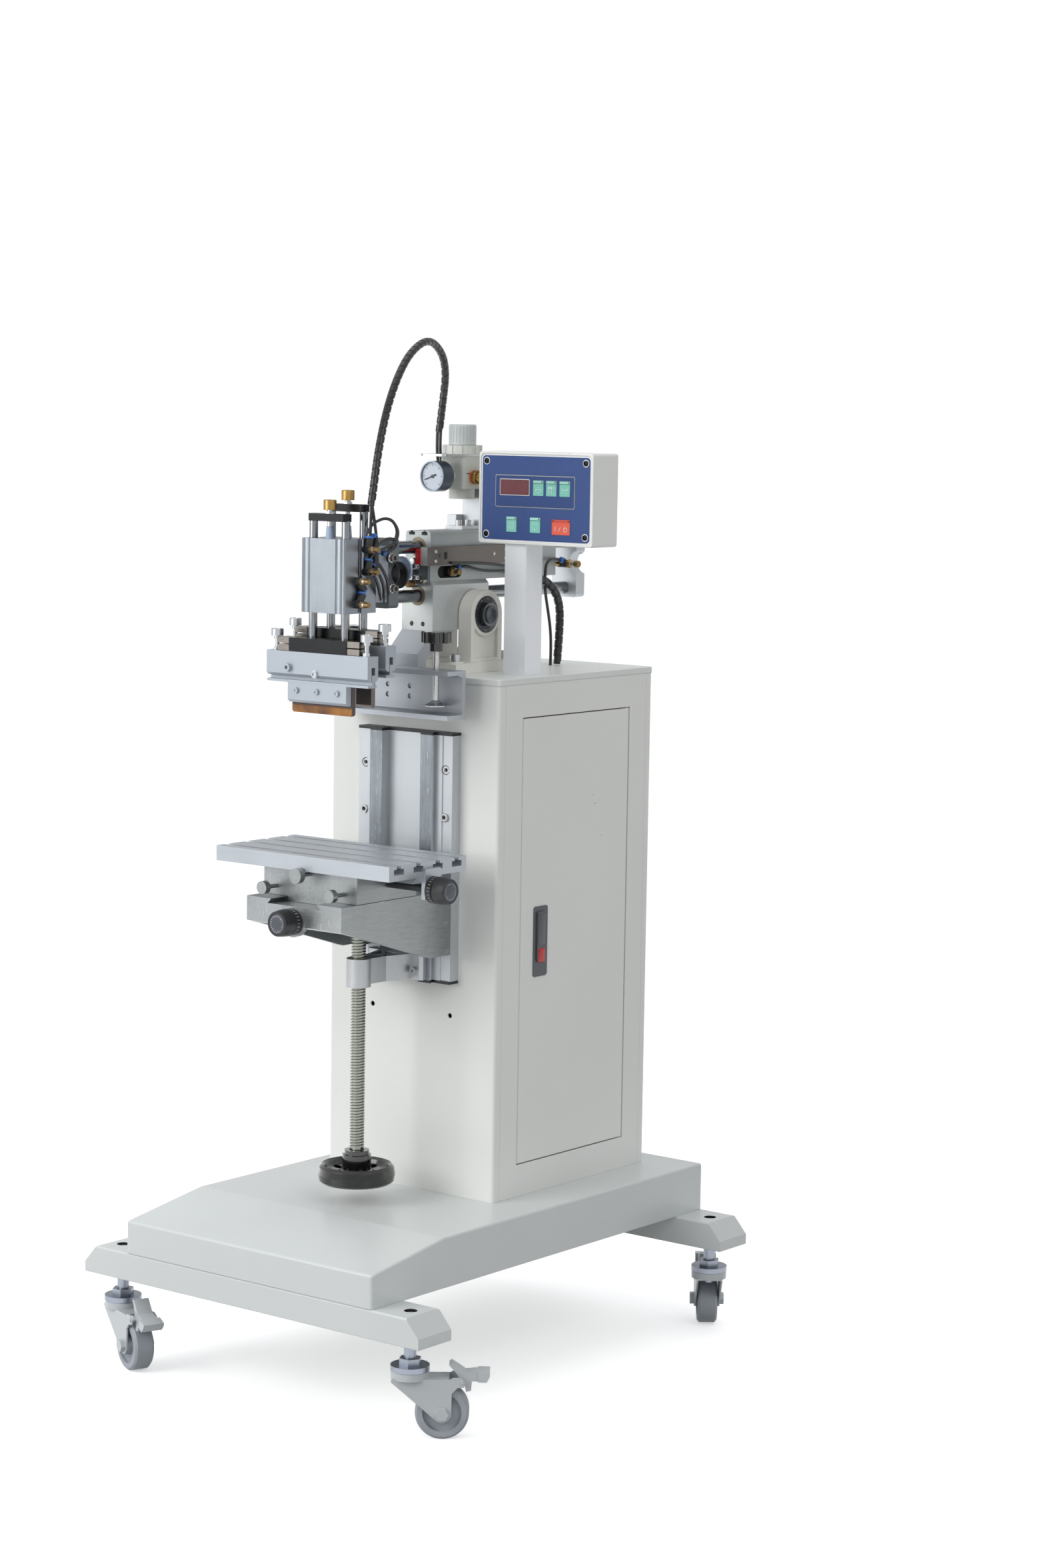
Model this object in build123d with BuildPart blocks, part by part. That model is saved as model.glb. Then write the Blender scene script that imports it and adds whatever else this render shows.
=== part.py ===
from build123d import *
import os
from math import cos, sin, tan, radians, pi

os.makedirs("parts", exist_ok=True)

# Flatbed screen printing machine on a caster base. Millimetres, +Z up, the front faces -Y.
# x = 0 is the machine's mid plane, z = 0 the floor, and the origin is the middle of its footprint.
front = -385.6            # front face of the base box

# Clearances of the fits, on the radius or on one side
run_fit = 0.06
slide_fit = 0.10
slack = 0.30

# Base box and foot beams
base_half, base_depth = 221.2, 733.9
base_z0, base_z1 = 165.4, 233.2
nose_z, nose_run = 210.3, 145.2
base_sheet, base_rim = 3.0, 28.0
beam_half, beam_depth, beam_z0 = 300.0, 65.6, 127.0
beam_end_h, beam_bevel, beam_wall = 14.2, 21.5, 4.0
stem_x, stem_hole_d = 259.0, 17.4
stem_y = (front + beam_depth / 2, front + base_depth - beam_depth / 2)

# Casters, in their own frame: u trails the stem, v is the axle, z is up
wheel_r, wheel_w, trail, axle_d = 35.0, 28.0, 42.0, 10.0
stem_d, kingpin_d = 16.0, 10.0
race_z0, race_z1, cap_z1, hex_z1 = 80.0, 87.7, 95.0, 104.0
fork_in, fork_out = 16.0, 18.5
brake_u, brake_z, brake_pin_d = 67.6, 76.8, 5.0
brake_throw = 18.0

# Cabinet
cab_half, cab_front, cab_back = 150.0, front + 335.0, front + 684.0
cab_z1, cab_sheet, cab_r = 945.3, 2.0, 5.0
top_t, top_over = 8.5, 0.8
cab_top = cab_z1 + top_t
door_y0, door_y1, door_z0, door_z1 = front + 388.1, front + 629.6, 279.9, 897.9
door_gap, door_t, door_sheet = 1.5, 16.0, 2.0
hinge_x, hinge_y, hinge_pin_d = cab_half - 3.0, front + 627.0, 4.0

# Column rail, nut bracket and knee
rail_half, rail_front, rail_z0, rail_z1 = 83.7, front + 315.5, 536.0, 874.0
ridge_front, ridge_in, ridge_out, ridge_land = front + 307.5, 34.5, 56.0, 3.0
ridge_root, rail_floor = 52.6, front + 323.0
spindle_y, spindle_d = front + 223.0, 20.4
nut_z0, nut_z1, nut_boss_d = 536.0, 571.0, 33.7
knee_half, knee_front, knee_z1 = 84.3, front + 90.0, 663.0
knee_nose_z, knee_heel_z, knee_heel_y = 630.0, 574.0, front + 274.0
knee_ceiling, knee_cheek = 645.0, 11.0
way_floor, way_half_low, way_half_top = 656.5, 47.0, 40.5
way_slope = (way_half_low - way_half_top) / (knee_z1 - way_floor)
journal_d, spindle_seat = 14.0, 632.0

# Saddle and worktable
saddle_half, saddle_y0, saddle_y1, saddle_z1 = 83.0, front + 122.6, front + 244.0, 702.3
table_half, table_y0, table_y1 = 154.0, front + 104.0, front + 262.6
table_z1, table_t = 723.0, 20.5
tongue_mid, tongue_low, tongue_top, tongue_z0 = front + 183.3, 30.0, 24.0, 695.0
tongue_slope = (tongue_low - tongue_top) / (saddle_z1 - tongue_z0)
slot_pitch, slot_neck, slot_wide, slot_neck_h, slot_h = 39.65, 9.0, 20.0, 5.0, 7.5
cross_d, cross_z, feed_y, feed_z = 10.0, 636.5, front + 186.0, 685.5

# Handwheel
hw_z0, hw_z1, hw_r, hw_hub_r, hw_hub_z = 260.5, 286.0, 53.0, 19.8, 305.6

# Print head
tilt_y, tilt_z = front + 427.2, cab_top + 80.0
pillow_x0, pillow_x1, pillow_y0, pillow_y1 = 24.75, 54.75, front + 357.0, front + 497.0
ring_r, ring_in = 25.5, 16.5
head_front = front + 338.6
upper_half, upper_z0, upper_z1, upper_back = 22.1, tilt_z + 47.2, tilt_z + 115.8, front + 619.0
lower_half, lower_z0, lower_back = 27.5, tilt_z - 20.8, front + 459.8
head_slot_x, head_slot_wide, head_slot_high, head_neck, head_lip = 11.2, 10.4, 4.3, 4.4, 1.6
rod_d, rod_z = 18.0, (tilt_z + 26.7, tilt_z + 93.5)
wiper_d, wiper_t = 27.0, 2.2
piston_d, piston_z = 8.0, tilt_z + 59.2
cap_t, cap_screw_x, cap_screw_z = 4.2, 6.2, 7.8
stop_neck, stop_tip = 7.4, 18.2
channel_half, channel_y0, channel_y1 = 112.5, front + 269.5, front + 307.5
channel_z0, channel_z1, channel_wall = lower_z0 - 113.0, lower_z0 - 47.0, 6.5
clamp_x, clamp_y, clamp_d, clamp_pad_z = 79.0, front + 285.0, 8.0, channel_z0 + 17.0
star_z0, star_z1, star_neck_z = channel_z1 + 37.0, channel_z1 + 52.0, channel_z1 + 25.5

# Carriage and print units
car_y0, car_y1, car_half = front + 252.5, front + 272.5, 22.0
car_z0, car_z1 = rod_z[0] - 13.5, rod_z[1] + 14.2
tail_y0, tail_y1 = front + 668.0, front + 688.0
unit_half, unit_z0, unit_z1, unit_t = 38.6, rod_z[0] - 16.0, rod_z[1] + 16.0, 32.0
unit_rod_x, unit_rod_d, bulge_r, bulge_face = 28.5, 11.6, 10.1, 2.2
bush_d, bush_tip_d, bush_z, stop_d = 11.6, 9.2, unit_z1 + 15.9, 6.4
unit_pitch, unit_lift = 36.0, 12.3
unit_y = front + 156.0
bar_half, bar_z0, bar_z1 = 33.3, unit_z1 + 22.7, unit_z1 + 32.7
foot_z0, foot_z1, foot_half, clip_half = unit_z0 - 52.5, unit_z0 - 34.5, 51.0, 72.5
holder_half, holder_near, holder_far, holder_z0 = 89.6, 24.1, 3.0, foot_z0 - 33.7
port_d, port_wide_d, port_tip_d = 10.0, 11.0, 7.4

# Regulator and control box
hose_r, wrap_r, thin_r = 5.2, 6.0, 2.1
hose_x, hose_tail = -30.0, (43.5, front + 188.8, 1187.0)
reg_y, reg_x, reg_half = front + 432.0, 0.0, 21.5
reg_z0, reg_z1, bowl_z = upper_z1 + 56.4, upper_z1 + 101.4, upper_z1 + 42.4
ring_z0, knob_z0, knob_z1 = reg_z1 + 3.0, reg_z1 + 15.0, reg_z1 + 43.5
gauge_z, gauge_r, gauge_y0, gauge_y1 = upper_z1 + 73.9, 21.0, front + 366.0, front + 391.0
box_x0, box_x1, box_y0, box_y1 = cab_half - 93.0, cab_half + 103.0, front + 399.0, front + 454.0
box_z0, box_z1, panel_rim, panel_deep = cab_top + 180.2, cab_top + 305.7, 3.2, 1.2
post_x0, post_x1, post_y0, post_y1 = cab_half - 52.0, cab_half - 15.0, front + 407.0, front + 443.0


def block(x0, x1, y0, y1, z0, z1, mode=Mode.ADD):
    """Box between six planes, in the open part."""
    with Locations(((x0 + x1) / 2, (y0 + y1) / 2, (z0 + z1) / 2)):
        Box(x1 - x0, y1 - y0, z1 - z0, mode=mode)


def upright(x, y, z0, z1, r, mode=Mode.ADD):
    """Round bar or hole along Z."""
    with Locations((x, y, (z0 + z1) / 2)):
        Cylinder(r, z1 - z0, mode=mode)


def along_y(x, y0, y1, z, r, mode=Mode.ADD):
    """Round bar or hole along Y."""
    with Locations((x, (y0 + y1) / 2, z)):
        Cylinder(r, y1 - y0, rotation=(90, 0, 0), mode=mode)


def along_x(x0, x1, y, z, r, mode=Mode.ADD):
    """Round bar or hole along X."""
    with Locations(((x0 + x1) / 2, y, z)):
        Cylinder(r, x1 - x0, rotation=(0, 90, 0), mode=mode)


def bend_radii(route):
    """Radius at each corner of a hose's route, from the shorter run beside it."""
    radii = []
    for before, corner, after in zip(route, route[1:], route[2:]):
        into = Vector(*corner) - Vector(*before)
        out = Vector(*after) - Vector(*corner)
        radii.append(0.45 * min(into.length, out.length) / tan(radians(into.get_angle(out)) / 2))
    return radii


def facing(y):
    """Plane across the machine at y, seen from the front: local x is X, local y is Z."""
    return Plane(origin=(0, y, 0), x_dir=(1, 0, 0), z_dir=(0, -1, 0))


# Base box: folded sheet cover, open below inside a return flange, with a sloped front top.
with BuildPart() as base_box:
    with BuildSketch(Plane.YZ) as base_side:
        with BuildLine():
            Polyline((front, base_z0), (front, nose_z), (front + nose_run, base_z1),
                     (front + base_depth, base_z1), (front + base_depth, base_z0), close=True)
        make_face()
    extrude(amount=base_half, both=True)
    fillet(base_box.edges().filter_by(Axis.Z), 5.0)
    crown = [e for e in base_box.edges() if min(v.Z for v in e.vertices()) > nose_z - 1]
    fillet([e for e in crown if abs(e.center().Y - front - nose_run) > 1], 4.0)
    with BuildSketch(Plane.YZ) as base_hollow:
        with BuildLine():
            Polyline((front + base_sheet, base_z0 + base_sheet), (front + base_sheet, nose_z - base_sheet),
                     (front + nose_run, base_z1 - base_sheet),
                     (front + base_depth - base_sheet, base_z1 - base_sheet),
                     (front + base_depth - base_sheet, base_z0 + base_sheet), close=True)
        make_face()
    extrude(amount=base_half - base_sheet, both=True, mode=Mode.SUBTRACT)
    block(-base_half + base_rim, base_half - base_rim, front + base_rim, front + base_depth - base_rim,
          base_z0 - 1, base_z0 + base_sheet + 1, Mode.SUBTRACT)
base_box.part.label = "base_box"
export_step(base_box.part, "parts/base_box.step")

# Foot beams: bevelled channels across the base, each with two sleeves for the caster stems.
for beam_name, beam_y in (("front_foot_beam", stem_y[0]), ("rear_foot_beam", stem_y[1])):
    with BuildPart() as foot_beam:
        with BuildSketch(facing(beam_y)) as beam_outline:
            with BuildLine():
                Polyline((-beam_half, beam_z0), (beam_half, beam_z0), (beam_half, beam_z0 + beam_end_h),
                         (beam_half - beam_bevel, base_z0), (beam_bevel - beam_half, base_z0),
                         (-beam_half, beam_z0 + beam_end_h), close=True)
            make_face()
        extrude(amount=beam_depth / 2, both=True)
        fillet(foot_beam.edges().filter_by(Axis.X).group_by(Axis.Z)[-1], 3.0)
        with BuildSketch(facing(beam_y)) as beam_hollow:
            with BuildLine():
                Polyline((-beam_half + beam_wall, beam_z0 - 1), (beam_half - beam_wall, beam_z0 - 1),
                         (beam_half - beam_wall, beam_z0 + beam_end_h - 1.6),
                         (beam_half - beam_bevel - 1.8, base_z0 - beam_wall),
                         (beam_bevel + 1.8 - beam_half, base_z0 - beam_wall),
                         (-beam_half + beam_wall, beam_z0 + beam_end_h - 1.6), close=True)
            make_face()
        extrude(amount=beam_depth / 2 - beam_wall, both=True, mode=Mode.SUBTRACT)
        for side in (-1, 1):
            upright(side * stem_x, beam_y, beam_z0, base_z0 - 1, stem_d / 2 + 6)
            upright(side * stem_x, beam_y, beam_z0 - 1, base_z0 + 1, stem_d / 2 + slide_fit, Mode.SUBTRACT)
            upright(side * stem_x, beam_y, base_z0 - beam_wall, base_z0 + 1, stem_hole_d / 2, Mode.SUBTRACT)
    foot_beam.part.label = beam_name
    export_step(foot_beam.part, "parts/" + beam_name + ".step")

# Caster stems: threaded stem, hexagon, upper race cap and kingpin, fixed in the sleeves.
with BuildPart() as caster_stems:
    for side in (-1, 1):
        for sy in stem_y:
            upright(side * stem_x, sy, hex_z1, base_z0 - 12, stem_d / 2)
            with BuildSketch(Plane.XY.offset(cap_z1)) as stem_hex:
                with Locations((side * stem_x, sy)):
                    RegularPolygon(15.0, 6)
            extrude(amount=hex_z1 - cap_z1)
            upright(side * stem_x, sy, race_z1 + slack, cap_z1, 25.5)
            upright(side * stem_x, sy, race_z0 - 9.0, cap_z1, kingpin_d / 2)
            upright(side * stem_x, sy, race_z0 - 9.0, race_z0 - 3.0, 8.0)
caster_stems.part.label = "caster_stems"
export_step(caster_stems.part, "parts/caster_stems.step")

# Casters: name, stem place, heading of the trail, and whether the brake is pressed.
casters = (("fl", -stem_x, stem_y[0], -21.8, True), ("fr", stem_x, stem_y[0], 38.15, False),
           ("bl", -stem_x, stem_y[1], 141.9, False), ("br", stem_x, stem_y[1], 128.1, False))
for tag, cx, cy, heading, pressed in casters:
    hx = cos(radians(heading))
    hy = sin(radians(heading))
    side_plane = Plane(origin=(cx, cy, 0), x_dir=(hx, hy, 0), z_dir=(hy, -hx, 0))

    # Fork: raceway, bridge and two pressed cheeks with the axle and the brake rivet.
    with BuildPart() as fork:
        with BuildSketch(side_plane) as cheek:
            with Locations((-21.5, race_z0 - 3)):
                Circle(2.5)
            with Locations((trail, wheel_r)):
                Circle(12.0)
            with Locations((52.5, race_z0 - 2.5)):
                Circle(2.5)
            make_hull()
            with BuildLine():
                Polyline((40.0, race_z0), (40.0, 62.0), (55.0, 62.0), (62.0, 69.5), (70.0, 70.0),
                         (72.5, 77.0), (66.0, race_z0 + 2.5), (56.0, race_z0 + 2.5), (52.0, race_z0),
                         close=True)
            make_face()
        extrude(amount=fork_out, both=True)
        with BuildSketch(side_plane) as fork_gap:
            with BuildLine():
                Polyline((-40, -1), (110, -1), (110, 110), (51.0, 110), (51.0, race_z0 - 2.5),
                         (-40, race_z0 - 2.5), close=True)
            make_face()
        extrude(amount=fork_in, both=True, mode=Mode.SUBTRACT)
        upright(cx, cy, race_z0 - 2.5, race_z1, 25.0)
        upright(cx, cy, race_z0 - 5, race_z1 + 1, kingpin_d / 2 + run_fit, Mode.SUBTRACT)
        with BuildSketch(side_plane) as fork_pins:
            with Locations((trail, wheel_r)):
                Circle(axle_d / 2)
            with Locations((brake_u, brake_z)):
                Circle(brake_pin_d / 2)
        extrude(amount=fork_out + 1.5, both=True)
        with BuildSketch(side_plane.offset(fork_out)) as axle_nut:
            with Locations((trail, wheel_r)):
                RegularPolygon(9.0, 6)
        extrude(amount=6.0)
        with BuildSketch(side_plane.offset(-fork_out)) as axle_head:
            with Locations((trail, wheel_r)):
                RegularPolygon(9.0, 6)
        extrude(amount=-6.0)
    fork.part.label = "caster_" + tag + "_fork"
    export_step(fork.part, "parts/caster_" + tag + "_fork.step")

    # Wheel: tread with rounded shoulders, dished web and hub.
    with BuildPart() as wheel:
        with BuildSketch(side_plane) as tread:
            with Locations((trail, wheel_r)):
                Circle(wheel_r)
        extrude(amount=wheel_w / 2, both=True)
        chamfer(wheel.edges().filter_by(GeomType.CIRCLE), 3.0)
        for face_sign in (-1, 1):
            with BuildSketch(side_plane.offset(face_sign * wheel_w / 2)) as web:
                with Locations((trail, wheel_r)):
                    Circle(25.0)
                    Circle(13.0, mode=Mode.SUBTRACT)
            extrude(amount=-face_sign * 5.0, mode=Mode.SUBTRACT)
        with BuildSketch(side_plane) as hub:
            with Locations((trail, wheel_r)):
                Circle(13.0)
        extrude(amount=fork_in - slack, both=True)
        with BuildSketch(side_plane) as wheel_bore:
            with Locations((trail, wheel_r)):
                Circle(axle_d / 2 + run_fit)
        extrude(amount=fork_in + 1, both=True, mode=Mode.SUBTRACT)
    wheel.part.label = "caster_" + tag + "_wheel"
    export_step(wheel.part, "parts/caster_" + tag + "_wheel.step")

    # Brake pedal: rocks on the rivet between the cheeks; its toe comes down on the tread.
    with BuildPart() as brake:
        with BuildSketch(side_plane) as pedal:
            with BuildLine():
                Polyline((50.5, 97.5), (54.0, 99.5), (72.0, 87.5), (90.0, 89.5), (103.0, 89.0),
                         (103.0, 84.0), (99.0, 76.0), (80.0, 76.5), (79.0, 64.0), (72.5, 62.5),
                         (71.0, 70.5), (63.0, 72.0), (62.0, 84.0), close=True)
            make_face()
            with Locations((brake_u, brake_z)):
                Circle(brake_pin_d / 2 + run_fit, mode=Mode.SUBTRACT)
        extrude(amount=11.0, both=True)
        with BuildSketch(side_plane) as toe:
            with BuildLine():
                Polyline((88.0, 89.3), (103.0, 89.0), (103.0, 84.0), (99.0, 76.0), (88.0, 76.2), close=True)
            make_face()
        extrude(amount=15.0, both=True)
    brake_axis = Axis((cx + brake_u * hx, cy + brake_u * hy, brake_z), (-hy, hx, 0))
    lever = brake.part.rotate(brake_axis, brake_throw) if pressed else brake.part
    lever.label = "caster_" + tag + "_brake"
    export_step(lever, "parts/caster_" + tag + "_brake.step")

# Cabinet shell: front, left side and back folded from one sheet, rounded corners.
with BuildPart() as cabinet_shell:
    with BuildSketch(Plane.XY.offset(base_z1)) as shell_plan:
        with Locations((0, (cab_front + cab_back) / 2)):
            RectangleRounded(2 * cab_half, cab_back - cab_front, cab_r)
            RectangleRounded(2 * cab_half - 2 * cab_sheet, cab_back - cab_front - 2 * cab_sheet,
                             cab_r - cab_sheet, mode=Mode.SUBTRACT)
    extrude(amount=cab_z1 - base_z1)
    block(cab_half - 15, cab_half + 1, cab_front + 14, cab_back - 14, base_z1 - 1, cab_z1 + 1, Mode.SUBTRACT)
    for hole_x in (-70.0, 70.0):
        along_y(hole_x, cab_front - 1, cab_front + 5, 485.0, 3.5, Mode.SUBTRACT)
cabinet_shell.part.label = "cabinet_shell"
export_step(cabinet_shell.part, "parts/cabinet_shell.step")

# Door frame: right side of the cabinet around the doorway, with two hinge blocks.
with BuildPart() as cabinet_door_frame:
    block(cab_half - cab_sheet, cab_half, cab_front + 14, cab_back - 14, base_z1, cab_z1)
    block(cab_half - 5, cab_half + 1, door_y0 - door_gap, door_y1 + door_gap,
          door_z0 - door_gap, door_z1 + door_gap, Mode.SUBTRACT)
    for block_z in (door_z0 - door_gap - 14, door_z1 + door_gap):
        block(cab_half - 18.0, cab_half - cab_sheet, hinge_y - 8, hinge_y + 8, block_z, block_z + 14)
    upright(hinge_x, hinge_y, door_z1, door_z1 + 12, hinge_pin_d / 2 + run_fit, Mode.SUBTRACT)
    upright(hinge_x, hinge_y, door_z0 - 12, door_z0, hinge_pin_d / 2 + run_fit, Mode.SUBTRACT)
cabinet_door_frame.part.label = "cabinet_door_frame"
export_step(cabinet_door_frame.part, "parts/cabinet_door_frame.step")

# Door: folded tray on two pins, with a flush latch lever in its front edge.
with BuildPart() as cabinet_door:
    block(cab_half - door_t, cab_half, door_y0, door_y1, door_z0, door_z1)
    fillet(cabinet_door.edges().filter_by(Axis.Z).group_by(Axis.X)[-1], 1.5)
    block(cab_half - door_t - 1, cab_half - door_sheet, door_y0 + door_sheet, door_y1 - 10,
          door_z0 + door_sheet, door_z1 - door_sheet, Mode.SUBTRACT)
    upright(hinge_x, hinge_y, door_z1 - 12, door_z1 + 11, hinge_pin_d / 2)
    upright(hinge_x, hinge_y, door_z0 - 11, door_z0 + 12, hinge_pin_d / 2)
    with BuildSketch(Plane.YZ.offset(cab_half - 1)) as latch_face:
        with Locations((front + 431.5, 587.0)):
            RectangleRounded(31.0, 98.0, 4.0)
    extrude(amount=2.2)
    with BuildSketch(Plane.YZ.offset(cab_half)) as latch_lever:
        with Locations((front + 431.5, 594.0)):
            RectangleRounded(19.0, 70.0, 4.0)
    extrude(amount=3.4)
cabinet_door.part.label = "cabinet_door"
export_step(cabinet_door.part, "parts/cabinet_door.step")

# Cabinet top plate.
with BuildPart() as cabinet_top_plate:
    with BuildSketch(Plane.XY.offset(cab_z1)) as top_plan:
        with Locations((0, (cab_front + cab_back) / 2)):
            RectangleRounded(2 * (cab_half + top_over), cab_back - cab_front + 2 * top_over, cab_r)
    extrude(amount=top_t)
    chamfer(cabinet_top_plate.faces().sort_by(Axis.Z)[-1].edges(), 0.8)
cabinet_top_plate.part.label = "cabinet_top_plate"
export_step(cabinet_top_plate.part, "parts/cabinet_top_plate.step")

# Column rail: extruded slide way with two undercut ridges.
with BuildPart() as column_rail:
    with BuildSketch(Plane.XY.offset(rail_z0)) as rail_plan:
        with BuildLine():
            Polyline((0, rail_floor), (ridge_in, rail_floor), (ridge_in, ridge_front),
                     (ridge_out, ridge_front), (ridge_out, ridge_front + ridge_land),
                     (ridge_root, rail_front), (67.0, rail_front), (67.0, rail_front + 1.5),
                     (rail_half, rail_front + 1.5), (rail_half, cab_front), (0, cab_front), close=True)
        make_face()
        mirror(about=Plane.YZ)
    extrude(amount=rail_z1 - rail_z0)
    for screw_z in (583.0, 827.0):
        for side in (-1, 1):
            along_y(side * 72.0, rail_front - 1, rail_front + 8, screw_z, 6.5, Mode.SUBTRACT)
            along_y(side * 72.0, rail_front + 3, rail_front + 10, screw_z, 5.0)
            along_y(side * 72.0, rail_front + 2, rail_front + 6, screw_z, 2.4, Mode.SUBTRACT)
column_rail.part.label = "column_rail"
export_step(column_rail.part, "parts/column_rail.step")

# Rail end caps: thin black covers on both ends of the rail.
with BuildPart() as rail_end_caps:
    for cap_z in (rail_z0 - 4.0, rail_z1):
        with BuildSketch(Plane.XY.offset(cap_z)) as cap_plan:
            with BuildLine():
                Polyline((0, rail_floor), (ridge_in, rail_floor), (ridge_in, ridge_front),
                         (ridge_out, ridge_front), (ridge_out, ridge_front + ridge_land),
                         (ridge_root, rail_front), (rail_half, rail_front), (rail_half, cab_front),
                         (0, cab_front), close=True)
            make_face()
            mirror(about=Plane.YZ)
        extrude(amount=4.0)
rail_end_caps.part.label = "rail_end_caps"
export_step(rail_end_caps.part, "parts/rail_end_caps.step")

# Nut bracket: cut extrusion with a round nut boss, webbed arm and end plate on the ridges.
with BuildPart() as spindle_nut_bracket:
    with BuildSketch(Plane.XY.offset(nut_z0)) as bracket_plan:
        with BuildLine():
            Polyline((-14.0, spindle_y + 6), (-16.0, front + 262), (-28.0, front + 297.5),
                     (-45.0, front + 297.5), (-49.5, front + 301.0), (-49.5, ridge_front),
                     (49.5, ridge_front), (49.5, front + 301.0), (45.0, front + 297.5),
                     (28.0, front + 297.5), (16.0, front + 262), (14.0, spindle_y + 6), close=True)
        make_face()
        with Locations((0, spindle_y)):
            Circle(nut_boss_d / 2)
        with BuildLine():
            Polyline((-11.0, front + 248), (11.0, front + 248), (0.0, front + 268), close=True)
        make_face(mode=Mode.SUBTRACT)
        with BuildLine():
            Polyline((-12.5, front + 258), (-3.5, front + 276), (-20.0, front + 292), close=True)
        make_face(mode=Mode.SUBTRACT)
        with BuildLine():
            Polyline((12.5, front + 258), (3.5, front + 276), (20.0, front + 292), close=True)
        make_face(mode=Mode.SUBTRACT)
        with BuildLine():
            Polyline((0.0, front + 279), (-15.0, front + 294), (15.0, front + 294), close=True)
        make_face(mode=Mode.SUBTRACT)
    extrude(amount=nut_z1 - nut_z0)
    upright(0, spindle_y, nut_z0 - 4.0, nut_z1, nut_boss_d / 2)
    upright(0, spindle_y, nut_z0 - 10, nut_z1 + 10, spindle_d / 2 + run_fit + 0.02, Mode.SUBTRACT)
    for side in (-1, 1):
        along_y(side * 37.0, front + 292.5, front + 299.0, 549.0, 5.0)
        along_y(side * 37.0, front + 292.0, front + 295.0, 549.0, 2.3, Mode.SUBTRACT)
spindle_nut_bracket.part.label = "spindle_nut_bracket"
export_step(spindle_nut_bracket.part, "parts/spindle_nut_bracket.step")

# Knee: tapered bracket on the rail, hollow below, with a dovetail way along its top.
with BuildPart() as knee:
    with BuildSketch(Plane.YZ) as knee_side:
        with BuildLine():
            Polyline((knee_front, knee_nose_z), (knee_heel_y, knee_heel_z),
                     (rail_front - slack, knee_heel_z), (rail_front - slack, knee_z1),
                     (knee_front, knee_z1), close=True)
        make_face()
    extrude(amount=knee_half, both=True)
    block(knee_cheek - knee_half, knee_half - knee_cheek, knee_front + 16, front + 290,
          knee_heel_z - 1, knee_ceiling, Mode.SUBTRACT)
    with BuildSketch(Plane.XY.offset(knee_heel_z - 1)) as rail_clear:
        with BuildLine():
            Polyline((0, ridge_front - slide_fit), (ridge_out + slide_fit, ridge_front - slide_fit),
                     (ridge_out + slide_fit, ridge_front + ridge_land + slide_fit),
                     (ridge_root + slide_fit, rail_front - slide_fit), (ridge_root, rail_front + 1),
                     (0, rail_front + 1), close=True)
        make_face()
        mirror(about=Plane.YZ)
    extrude(amount=knee_z1 - knee_heel_z + 2, mode=Mode.SUBTRACT)
    block(-ridge_out - slide_fit, ridge_out + slide_fit, front + 280, rail_front + 1,
          knee_heel_z - 1, knee_ceiling, Mode.SUBTRACT)
    with BuildSketch(facing(knee_front + 1)) as way:
        with BuildLine():
            Polyline((-way_half_low, way_floor), (way_half_low, way_floor), (way_half_top, knee_z1 + 0.01),
                     (-way_half_top, knee_z1 + 0.01), close=True)
        make_face()
    extrude(amount=2, mode=Mode.SUBTRACT)
    extrude(way.sketch, amount=-260, mode=Mode.SUBTRACT)
    upright(0, spindle_y, spindle_seat, knee_ceiling, 18.0)
    upright(0, spindle_y, spindle_seat - 1, knee_ceiling, journal_d / 2 + run_fit, Mode.SUBTRACT)
    block(-13.0, 13.0, front + 126, front + 196, knee_ceiling - 2, way_floor + 1, Mode.SUBTRACT)
    along_y(0, knee_front - 3, knee_front + 6, cross_z, 21.0)
    along_y(0, knee_front - 6, knee_front + 20, cross_z, cross_d / 2 + run_fit, Mode.SUBTRACT)
knee.part.label = "knee"
export_step(knee.part, "parts/knee.step")

# Spindle: trapezoidal lifting screw with a journal and thrust collar at its top.
with BuildPart() as spindle:
    upright(0, spindle_y, hw_z0 - 4, spindle_seat - slack, spindle_d / 2)
    upright(0, spindle_y, spindle_seat - 8, spindle_seat - slack, 15.0)
    upright(0, spindle_y, spindle_seat - 1, knee_ceiling - 0.5, journal_d / 2)
spindle.part.label = "spindle"
export_step(spindle.part, "parts/spindle.step")

# Handwheel: round rim, dished web with eight openings, hub clamped on the spindle.
hub_bore = spindle_d / 2 + run_fit
with BuildPart() as handwheel:
    with BuildSketch(Plane.XZ) as wheel_section:
        with BuildLine():
            Polyline((hub_bore, hw_z0), (24.0, hw_z0), (27.0, hw_z0 + 4.0), (42.0, hw_z0 + 8.0),
                     (44.5, hw_z0 + 2.0), (48.0, hw_z0), (51.5, hw_z0 + 3.0), (hw_r, hw_z0 + 12.0),
                     (51.5, hw_z1 - 4.0), (48.0, hw_z1), (44.5, hw_z1 - 3.0), (42.0, hw_z1 - 8.0),
                     (27.0, hw_z0 + 14.0), (hw_hub_r, hw_z0 + 18.0), (hw_hub_r, hw_hub_z - 6.2),
                     (17.0, hw_hub_z - 6.2), (17.0, hw_hub_z), (hub_bore, hw_hub_z), close=True)
        make_face()
    revolve(axis=Axis.Z)
    with PolarLocations(34.5, 8):
        Cylinder(6.0, 2 * hw_z1, mode=Mode.SUBTRACT)
hand_wheel = handwheel.part.moved(Location((0, spindle_y, 0)))
hand_wheel.label = "handwheel"
export_step(hand_wheel, "parts/handwheel.step")

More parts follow.
